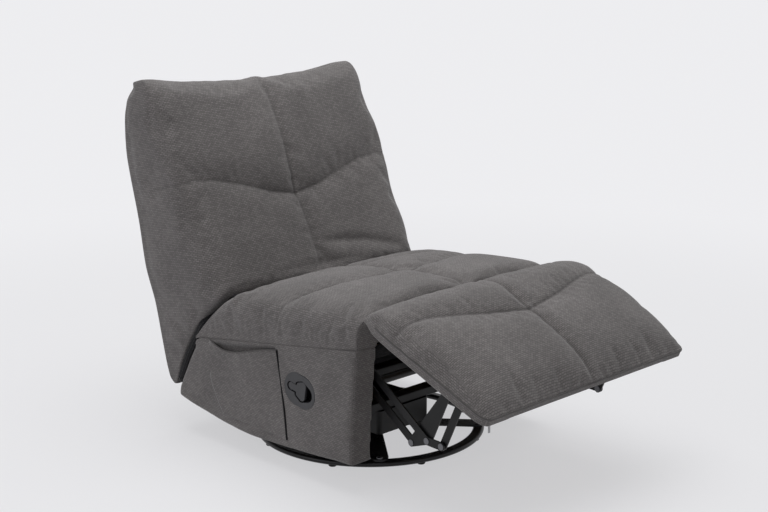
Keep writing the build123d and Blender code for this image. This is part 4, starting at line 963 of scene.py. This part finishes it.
low = co[:, 2] < seat_base(co[:, 1]) + 0.018
nose = (co[:, 1] < SEAT_FRONT + 0.03) & (co[:, 2] < NOSE_TOP)
rear = np.interp(co[:, 1], seat_back_line[:, 0], seat_back_line[:, 1]) - co[:, 2]
behind = (co[:, 1] > seat_back_line[0, 0] - 0.01) & (rear < 0.02)
pinned = low | nose | behind | on_seam(chart, SEAT_SEAMS, facing)
puff(seat_cover, pinned, pressure=2.8, cap=0.008)
rounded(seat_cover)
co = points_of(seat_cover)
facing = unit((co[:, 2] - seat_base(co[:, 1]) - 0.03) / 0.02)
groove(seat_cover, co[:, :2] - (0, SWIVEL), facing, SEAT_SEAMS, puckers=0.0009)
lay_weave(seat_cover, ((0, 1, 1), (0, 1, 0), (0, 0, 1)))
dress(seat_cover, cover_cloth)
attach(seat_cover, "chassis")
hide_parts("seat_cushion")
sew("seat_stitches", seat_cover, SEAT_SEAMS, in_seat, (0, 0, -1), "chassis")
print("seat", faces_of(seat_cover), "faces")

# %% [markdown]
# ## Back cushion
# The back is one bag, from the knuckle it swings on to the soft ears at its top corners. Its
# lower front follows the seat's rear curve. A lengthwise seam and a V of cross seams meet in one
# deep tuck. Low down, a slit on each side lets in the steel plate that carries the pivot, so the
# two nearest columns of the net are drawn back behind the plate's round end.

# %% Back
BACK_LEAN = math.radians(12)
BACK_ALONG = np.array((0, math.sin(BACK_LEAN), math.cos(BACK_LEAN)))
BACK_REARWARD = np.array((0, math.cos(BACK_LEAN), -math.sin(BACK_LEAN)))
BACK_ORIGIN = np.array((0, 0.396 + SWIVEL, 0.142))


def back_chart(co):
    """Points as (across, along) on the back's plane, and how far in front of it they are."""
    local = co - BACK_ORIGIN
    return np.stack((local[:, 0], local @ BACK_ALONG), 1), -(local @ BACK_REARWARD)


def facing_front(chart, front):
    """1 on the front half of the cushion, fading to 0 at its middle."""
    return unit((front - 0.5 * curve_through(BACK_DEPTH, chart[:, 1])) / 0.03)


def before_back(chart):
    """Chart points on a plane inside the cushion, as points in space."""
    place = BACK_ORIGIN + np.outer(chart[:, 0], (1, 0, 0)) + np.outer(chart[:, 1], BACK_ALONG)
    return place - 0.17 * BACK_REARWARD


wedge = arc_points((0.164, 0.412), (0.275, 0.30764), (0.372, 0.142)) - (0.396, 0.142)
wedge_v = wedge @ BACK_ALONG[1:]
wedge_w = -(wedge @ BACK_REARWARD[1:])
order = np.argsort(wedge_v)
wedge_v, wedge_w = wedge_v[order], wedge_w[order]
BACK_GRID = 0.0088
PLATE_X = 0.3085
SLIT_TOP = 0.040
SLIT_HALF = 0.0042
SLIT_FLOOR = -0.0182
BACK_REAR_AT = (-0.024, -0.012, 0.0, 0.05, 0.2, 0.32, 0.44, 0.6, 0.7, 0.77, 0.799)
BACK_REAR_BY = (-0.002, 0.009, 0.017, 0.021, 0.019, 0.021, 0.023, 0.027, 0.013, -0.018, -0.046)
BACK_REAR = tuple(zip(BACK_REAR_AT, BACK_REAR_BY))
BACK_AT = (0.207, 0.32, 0.44, 0.6, 0.70, 0.77, 0.79, 0.799)
BACK_CROWN = tuple(zip(BACK_AT, (0.270, 0.238, 0.210, 0.180, 0.153, 0.127, 0.109, 0.090)))
BACK_SIDE = tuple(zip(BACK_AT, (0.252, 0.226, 0.201, 0.168, 0.141, 0.117, 0.102, 0.086)))
BACK_HALF_AT = (-0.024, 0.1, 0.207, 0.32, 0.44, 0.6, 0.72, 0.799)
BACK_HALF = tuple(zip(BACK_HALF_AT, (0.366, 0.372, 0.377, 0.388, 0.385, 0.387, 0.385, 0.374)))
BACK_INSET = ((-0.024, 0.003), (0.1, 0.006), (0.207, 0.011), (0.4, 0.012), (0.7, 0.010), (0.799, 0.004))
BACK_DEPTH = ((0, 0.02), (0.207, 0.236), (0.44, 0.16), (0.799, 0.14))
BACK_BOXED = 0.86
WEDGE_TOP = 0.207
EAR_HALF, EAR_RISE, TOP_SAG = 0.36, 0.004, -0.016
BELLY = 0.006
back_columns, back_rows = int(0.75 / BACK_GRID), 19
back_top_at = [0.781, 0.787, 0.792, 0.796, 0.799]
back_at = np.concatenate((np.linspace(-0.021, -0.004, 4), np.arange(0.003, 0.775, BACK_GRID), back_top_at))
back_rings = []
for v in back_at:
    rear, crown, side = curves(v, BACK_REAR, BACK_CROWN, BACK_SIDE)
    half, inset = curves(v, BACK_HALF, BACK_INSET)
    if v < WEDGE_TOP:
        lobe = np.interp(v, np.concatenate(([-0.024], wedge_v)), np.concatenate(([0.009], wedge_w)))
        crown, side = min(crown, lobe - 0.004), min(side, lobe - 0.006)
    flat = section(back_columns, back_rows, half, half - inset, -rear, side, crown, BACK_BOXED)
    if v < SLIT_TOP:
        off = np.abs(flat[:, 0]) - PLATE_X
        slit = np.abs(off) < BACK_GRID
        flat[slit, 0] = np.sign(flat[slit, 0]) * (PLATE_X + SLIT_HALF * np.sign(off[slit]))
        flat[slit, 1] = SLIT_FLOOR + 0.001 * np.where(flat[slit, 1] > -rear + 0.0001, 1, -1)
    share = np.clip(flat[:, 0] / EAR_HALF, -1, 1)
    sag = TOP_SAG * (1 - share**2) + EAR_RISE * np.exp(-(((np.abs(share) - 0.95) / 0.1) ** 2))
    rise = v + (sag + EAR_RISE) * unit((v - 0.6) / 0.2) ** 2
    belly = BELLY * (1 - share**2) * (flat[:, 1] < -rear + 0.004)
    flat[:, 1] -= belly * unit(v / 0.2) * unit((0.8 - v) / 0.1)
    place = BACK_ORIGIN + np.outer(flat[:, 0], (1, 0, 0)) + np.outer(rise, BACK_ALONG)
    back_rings.append(place - np.outer(flat[:, 1], BACK_REARWARD))
back_cover = bag("back_cover", np.array(back_rings), back_columns, back_rows)
BACK_TUCK = (0, 0.446, 0.017)
BACK_SEAMS = [
    [
        (0, 0.20, 0.001), (0, 0.35, 0.002), (0, 0.43, 0.007), BACK_TUCK,
        (0, 0.50, 0.009), (0, 0.62, 0.003), (0, 0.80, 0.002),
    ],
    mirrored([
        BACK_TUCK, (0.09, 0.463, 0.009), (0.18, 0.493, 0.007), (0.27, 0.516, 0.006),
        (0.335, 0.521, 0.005), (0.39, 0.515, 0.003),
    ]),
]
BACK_FOLDS = [
    [(0.02, 0.298, 0.003), (0.10, 0.292, 0.012), (0.19, 0.280, 0.013), (0.31, 0.246, 0.006)],
    [(-0.2, 0.235, 0.002), (-0.05, 0.245, 0.006), (0.1, 0.24, 0.005), (0.2, 0.225, 0.002)],
]
co = points_of(back_cover)
chart, front = back_chart(co)
facing = facing_front(chart, front)
sewn, folded = sewn_depth(chart, BACK_SEAMS, reach=0.032), sewn_depth(chart, BACK_FOLDS, reach=0.016)
pull = np.maximum(sewn, folded) * facing
move_points(back_cover, co + pull[:, None] * BACK_REARWARD)
lobe_w = np.interp(chart[:, 1], wedge_v, wedge_w)
under = (chart[:, 1] < 0.2) & (front > lobe_w - 0.02)
boxed = (front < 0.006) & (np.abs(chart[:, 0]) > EAR_HALF) & (chart[:, 1] > 0.05)
low = chart[:, 1] < 0.055
pinned = low | under | boxed | on_seam(chart, BACK_SEAMS, facing, least=0.6)
puff(back_cover, pinned, pressure=1.6, cap=0.008)
rounded(back_cover)
co = points_of(back_cover)
chart, front = back_chart(co)
groove(back_cover, chart, facing_front(chart, front), BACK_SEAMS, puckers=0.0008)
lay_weave(back_cover, (BACK_ALONG, BACK_REARWARD, BACK_ALONG))
dress(back_cover, cover_cloth)
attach(back_cover, "back")
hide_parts("back_cushion", "back_rear_pad")
sew("back_stitches", back_cover, BACK_SEAMS, before_back, BACK_REARWARD, "back")
print("back", faces_of(back_cover), "faces")

# %% [markdown]
# ## Padded sides
# Each side is a padded panel over plywood, with a return round the front edge. The solids already
# have the outline, the lever's hole and the pocket's hollow, so a copy is remeshed into even
# quads, softened, and shaped by given offsets: a simulation would close the hole.


# %% Sides
SIDE_VOXEL = 0.0045
SIDE_SMOOTH = 5
SIDE_TOP_X = 0.3785
SIDE_WAVE, SIDE_RIPPLE = 0.0016, 0.001
TOE_Y, TOE_Z, TOE_SIZE = -0.315, 0.085, 0.05
TOE_DROP, TOE_FORWARD = 0.007, 0.004
HEM_DROP = 0.008
HEEL_Y, HEEL_SIZE, HEEL_LIFT = 0.262, 0.03, 0.007


def soft_copy(solid, name):
    """An evenly meshed, softened copy of a solid."""
    mesh = frame["nodes"][solid].data.copy()
    work = bmesh.new()
    work.from_mesh(mesh)
    bmesh.ops.remove_doubles(work, verts=work.verts, dist=1e-5)
    work.to_mesh(mesh)
    work.free()
    obj = stand(name, mesh)
    for kind, options in (
        ("REMESH", {"mode": "VOXEL", "voxel_size": SIDE_VOXEL, "use_smooth_shade": True}),
        ("SMOOTH", {"factor": 0.5, "iterations": SIDE_SMOOTH}),
    ):
        mod = obj.modifiers.new(kind.lower(), kind)
        for key, value in options.items():
            setattr(mod, key, value)
    return keep_result(obj)


ZIP_ROOM = 0.017
ZIP_SHARE = ((0.09, 0.2), (0.15, 0.75), (0.2, 1), (0.27, 1), (0.315, 0))
ZIP_SEATWARD = np.array((-0.83, -0.56))
for side, sign in (("right", -1), ("left", 1)):
    cover = soft_copy(f"side_pad_{side}", f"side_cover_{side}")
    co, normal = points_of(cover), normals_of(cover)
    out = unit(normal[:, 0] * sign)
    y, z = co[:, 1] - SWIVEL, co[:, 2]
    wave = SIDE_WAVE * np.sin(y * 21 + 3 * z) * np.sin(z * 17 - 2 * y + 0.6)
    wave -= SIDE_RIPPLE * np.sin(y * 47 + z * 31)
    co[:, 0] += sign * out * wave
    corner = np.exp(-(((y - TOE_Y) / TOE_SIZE) ** 2) - (((z - TOE_Z) / TOE_SIZE) ** 2))
    co[:, 2] -= TOE_DROP * corner
    co[:, 1] -= TOE_FORWARD * corner
    co[:, 2] -= HEM_DROP * unit((0.17 - z) / 0.07) * unit((y + 0.1) / 0.2)
    top = unit((co[:, 2] - seat_base(co[:, 1]) + 0.02) / 0.012) * (np.abs(co[:, 0]) > 0.36)
    co[:, 0] += sign * top * np.maximum(SIDE_TOP_X - np.abs(co[:, 0]), 0)
    offset = np.linalg.norm(co[:, None, 1:] - seat_back_line[None, ::2], axis=2)
    room = ZIP_ROOM * curve_through(ZIP_SHARE, co[:, 2])
    co[:, 1:] += (room * unit(1 - offset.min(1) / 0.08))[:, None] * ZIP_SEATWARD
    heel = np.exp(-(((y - HEEL_Y) / HEEL_SIZE) ** 2)) * unit((z - seat_base(co[:, 1]) + 0.03) / 0.02)
    co[:, 2] += HEEL_LIFT * heel
    move_points(cover, co)
    # The sides carry no painted seam shade.
    set_attribute(cover, "seam", "FLOAT", np.zeros(len(co)))
    lay_weave(cover, ((0, 1, 1), (0, 1, 0), (0, 0, 1)))
    dress(cover, cover_cloth)
    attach(cover, "chassis")
    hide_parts(f"side_pad_{side}")
    print(cover.name, faces_of(cover), "faces")

# %% [markdown]
# ## Zips between the back and the sides
# A black zip closes each side of the joint between the back and the seat, so the cover can be
# taken off. It shows as a dark band where the padded side stands back from it. The tape is a
# strip along the joint. Above the side it runs on inside the gap as a black sheet that keeps
# daylight out and stands in for the shade deep in the joint. The teeth are a row of beads from
# the same graph as the stitches.

# %% Side zips
ZIP_LOW, ZIP_HIGH, TEETH_HIGH = 0.14, 0.402, 0.325
TAPE_X, TAPE_THICK = 0.3735, 0.0014
zip_line = seat_back_line[(seat_back_line[:, 1] > ZIP_LOW) & (seat_back_line[:, 1] < ZIP_HIGH)]
zip_up = zip_line[:, 1]
TAPE_SEATWARD = ((0.14, 0.012), (0.17, 0.015), (0.27, 0.015), (0.33, 0.006), (0.41, 0.006))
TAPE_BACKWARD = ((0.14, -0.006), (0.27, -0.007), (0.34, -0.013), (0.41, -0.013))
# Above the teeth the tape is set back into the gap: a black sheet that stands in for the shade there.
TAPE_RECESS = ((0.14, 0), (0.315, 0.001), (0.345, 0.032), (0.41, 0.056))
seat_edge, back_edge, recess = curves(zip_up, TAPE_SEATWARD, TAPE_BACKWARD, TAPE_RECESS)
for side, sign in (("right", -1), ("left", 1)):
    columns = []
    for t in (0, 0.25, 0.5, 0.75, 1):
        spot = zip_line + ZIP_SEATWARD * (back_edge + t * (seat_edge - back_edge))[:, None]
        columns.append(np.stack((sign * (TAPE_X - recess), spot[:, 0], spot[:, 1]), 1))
    grid = np.array(columns) if sign > 0 else np.array(columns[::-1])
    tape = panel(f"zip_tape_{side}", grid, TAPE_THICK)
    flat_weave(tape, 1, 2)
    dress(tape, lining_cloth)
    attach(tape, "back")
    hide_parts(f"side_zip_{side}")
    middle_row = columns[2][zip_up < TEETH_HIGH] + (sign * 0.0006, 0, 0)
    coil = {"Pitch": 0.0026, "Length": 0.0014, "Width": 0.0042, "Height": 0.0022}
    teeth = trim(f"zip_teeth_{side}", [middle_row], bead_graph, zip_coil, "zip_tape", "back", **coil)
    print(tape.name, faces_of(tape), "faces and", faces_of(teeth), "of teeth")

# %% [markdown]
# ## Pocket
# The pocket on the lever side is one layer of cloth sewn on at its front, bottom and rear. Its
# mouth is slack, so it sags and stands off the side a little. Black piping runs down the front.

# %% Pocket
POCKET_MOUTH_AT = (-0.054, -0.015, 0.05, 0.1, 0.15, 0.185, 0.2145)
POCKET_MOUTH = tuple(zip(POCKET_MOUTH_AT, (0.316, 0.309, 0.292, 0.278, 0.272, 0.278, 0.287)))
POCKET_FRONT = ((0.088, -0.088), (0.16, -0.080), (0.232, -0.069), (0.316, -0.054))
POCKET_REAR = ((0.094, 0.166), (0.14, 0.196), (0.19, 0.216), (0.287, 0.2145))
POCKET_X, POCKET_THICK = -0.3795, 0.0015
POCKET_NET = (37, 49)
up_at, across_at = (np.linspace(0, 1, count) for count in POCKET_NET)
grid = np.zeros((*POCKET_NET, 3))
for r, u in enumerate(up_at):
    for c, a in enumerate(across_at):
        foot = POCKET_FRONT[0][0] + 0.006 * a
        y = POCKET_MOUTH[0][0] + a * (POCKET_MOUTH[-1][0] - POCKET_MOUTH[0][0])
        top = float(curve_through(POCKET_MOUTH, y))
        z = foot + u * (top - foot)
        front, rear = map(float, curves(z, POCKET_FRONT, POCKET_REAR))
        swell = (math.sin(math.pi * a) ** 0.7) * (0.0016 + 0.0042 * u**2) * min(1, u * 8)
        drag = 0.0007 * math.sin(9 * a + 5 * u) * math.sin(math.pi * a) * u
        grid[r, c] = (POCKET_X - swell - drag, SWIVEL + front + a * (rear - front), z)
pocket = panel("side_pocket_cloth", grid[:, ::-1], POCKET_THICK)
flat_weave(pocket, 1, 2)
dress(pocket, cover_cloth)
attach(pocket, "chassis")
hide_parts("side_pocket")
out = np.array((-1, 0, 0))
hem_row, piping_row = [grid[-1] + out * 0.0004], [grid[:, 0] + out * 0.0008]
hem = trim("pocket_hem", hem_row, cord_graph, cover_cloth, "cover_cloth", "chassis", Radius=0.0017)
piping = trim("pocket_piping", piping_row, cord_graph, lining_cloth, "zip_tape", "chassis", Radius=0.0027)
rows = [row + out * 0.0003 for row in (grid[-3], grid[1:-4, -2], grid[1, 2:-2])]
stitches = trim("pocket_stitches", rows, bead_graph, sewing_thread, "cover_cloth", "chassis")
print("pocket", faces_of(pocket), "faces")

# %% [markdown]
# ## Linings, webbing and the sewn hinge
# Thin black lining covers the timber under the seat's front and closes the body behind the
# mechanism. Elastic straps carry the seat: one is drawn, and the graph lays six. The legrest
# hangs from the seat by its cover, a rolled seam that bends between the two.

# %% Linings
LINING_HALF, LINING_THICK = 0.3085, 0.0007
across = np.linspace(-LINING_HALF, LINING_HALF, 41)
FRONT_LINE = [
    (-0.2262, 0.3672), (-0.2264, 0.352), (-0.2262, 0.3375),
    (-0.2246, 0.3340), (-0.20, 0.3325), (-0.186, 0.3318),
]
grid = np.array([[(x, y + 0.0004 * math.sin(31 * x), z) for x in across] for y, z in FRONT_LINE])
front_lining = panel("front_lining", grid, LINING_THICK)
REAR_LINE = [(0.2935, 0.262), (0.2925, 0.22), (0.291, 0.18), (0.2905, 0.13), (0.2915, 0.086)]
grid = np.array(
    [[(x * 0.99, y + 0.004 * math.sin(17 * x) * (0.27 - z) * 8, z) for x in across] for y, z in REAR_LINE]
)
rear_lining = panel("rear_lining", grid, LINING_THICK)
for lining in (front_lining, rear_lining):
    flat_weave(lining, 0, 2)
    dress(lining, lining_cloth)
    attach(lining, "chassis")
print("linings", front_lining.name, rear_lining.name)

# %% Webbing and hinge roll
STRAP_HALF, STRAP_THICK, STRAP_STEP = 0.2833, 0.0022, 0.102
ROLL_HALF, ROLL_RADIUS = 0.3015, 0.0054
across = np.linspace(-STRAP_HALF, STRAP_HALF, 31)
strap_y = np.linspace(-0.2243, -0.1749, 5)
hang = [0.001 + 0.0035 * math.cos(math.pi * x / 0.567) for x in across]
grid = np.array([[(x, y, seat_base(y) - h) for x, h in zip(across, hang)] for y in strap_y])
straps = panel("seat_straps", grid, -STRAP_THICK)
run_graph(
    straps, strap_graph, Material=elastic_webbing, Count=6, Step=STRAP_STEP, Fall=-STRAP_STEP * SEAT_SLOPE
)
flat_weave(straps, 0, 1)
dress(straps, elastic_webbing)
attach(straps, "chassis")
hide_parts("seat_webbing")
along = np.linspace(-ROLL_HALF, ROLL_HALF, 240)
ripple = 0.0006 * np.sin(along * 210) * np.sin(along * 37 + 0.4)
roll_line = np.stack((along, HINGE_Y + ripple, HINGE_Z + 0.4 * ripple), 1)
hinge_roll = rows_object("hinge_roll", [roll_line])
run_graph(hinge_roll, cord_graph, Material=cover_cloth, Radius=ROLL_RADIUS)
co = points_of(hinge_roll)
store_weave(hinge_roll, co[:, 0], co[:, 1] + co[:, 2])
dress(hinge_roll, cover_cloth)
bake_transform(hinge_roll)
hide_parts("seam_roll")
print("straps", faces_of(straps), "roll", faces_of(hinge_roll))

# %% [markdown]
# ## Floor and light
# The photograph has a pale floor that runs up into a white background, a large soft light
# overhead and weaker fill from the front. Near the chair the floor's paint shows only in part,
# under a glow of the background's colour: painted light that keeps its shadow pale. Further out
# it turns into the background, but only for what the camera sees, straight or by a mirror, so it
# adds no light to the chair.

# %% Studio
BACKDROP = (0.85, 0.85, 0.87, 1)
FLOOR_HALF = 45


def seen_straight(tree):
    """1 for rays from the camera, and for those seen in a mirror or through glass."""
    rays = node(tree, "ShaderNodeLightPath").outputs
    seen = rays["Is Camera Ray"]
    for kind in ("Is Glossy Ray", "Is Transmission Ray"):
        seen = combine(tree, "MAXIMUM", seen, rays[kind])
    return seen


floor_mesh = bpy.data.meshes.new("studio_floor")
corners = [(x * FLOOR_HALF, y * FLOOR_HALF, 0) for x, y in ((-1, -1), (1, -1), (1, 1), (-1, 1))]
floor_mesh.from_pydata(corners, [], [(0, 1, 2, 3)])
studio_floor = stand("studio_floor", floor_mesh)
floor_paint, tree, shader = finish("floor_paint", (0.80, 0.80, 0.815), 0.75)
place = node(tree, "ShaderNodeTexCoord").outputs["Object"]
away = node(tree, VECTORS, {0: place}, operation="LENGTH").outputs["Value"]
# Near the chair the floor is 62 percent glow for what the camera sees: painted light over its shadow.
fade = {"Value": away, "From Min": 0.5, "From Max": 3.4, "To Min": 0.62}
spread = first_of(tree, "ShaderNodeMapRange", fade, interpolation_type="SMOOTHSTEP")
share = combine(tree, "MULTIPLY", spread, seen_straight(tree))
backdrop_glow = first_of(tree, "ShaderNodeEmission", {"Color": BACKDROP, "Strength": 1.0})
both = first_of(tree, "ShaderNodeMixShader", {0: share, 1: shader.outputs[0], 2: backdrop_glow})
tree.links.new(both, tree.nodes["Material Output"].inputs["Surface"])
floor_mesh.materials.append(floor_paint)
studio_floor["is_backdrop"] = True


def softbox(name, place, aim, size, watts, color=(1, 1, 1)):
    """A square area light that looks at a point."""
    lamp = bpy.data.lights.new(name, "AREA")
    lamp.shape = "SQUARE"
    lamp.size = size
    lamp.energy = watts
    lamp.color = color
    box = stand(name, lamp)
    box.location = place
    box.rotation_euler = (Vector(aim) - Vector(place)).to_track_quat("-Z", "Y").to_euler()


softbox("overhead_softbox", (0.3, 0.3, 3.2), (0.1, 0, 0.3), 3.4, 78)
softbox("left_softbox", (-3.6, 0.4, 1.7), (0, 0, 0.4), 2.6, 26, (0.97, 0.965, 1.0))
softbox("front_softbox", (0.8, -3.8, 1.6), (0, 0, 0.4), 2.6, 3)
studio = bpy.data.worlds.new("studio")
scene.world = studio
studio.use_nodes = True
tree = studio.node_tree
tree.nodes.clear()
fill = first_of(tree, "ShaderNodeBackground", {"Color": (1, 1, 1, 1), "Strength": 0.31})
backdrop = first_of(tree, "ShaderNodeBackground", {"Color": BACKDROP, "Strength": 1.0})
both = first_of(tree, "ShaderNodeMixShader", {0: seen_straight(tree), 1: fill, 2: backdrop})
node(tree, "ShaderNodeOutputWorld", {"Surface": both})
print("studio lit")

# %% [markdown]
# ## Size
# The box of the dressed chair is measured and its size printed.

# %% Finish
low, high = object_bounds()
print("size", [round(h - l, 4) for l, h in zip(low, high)])
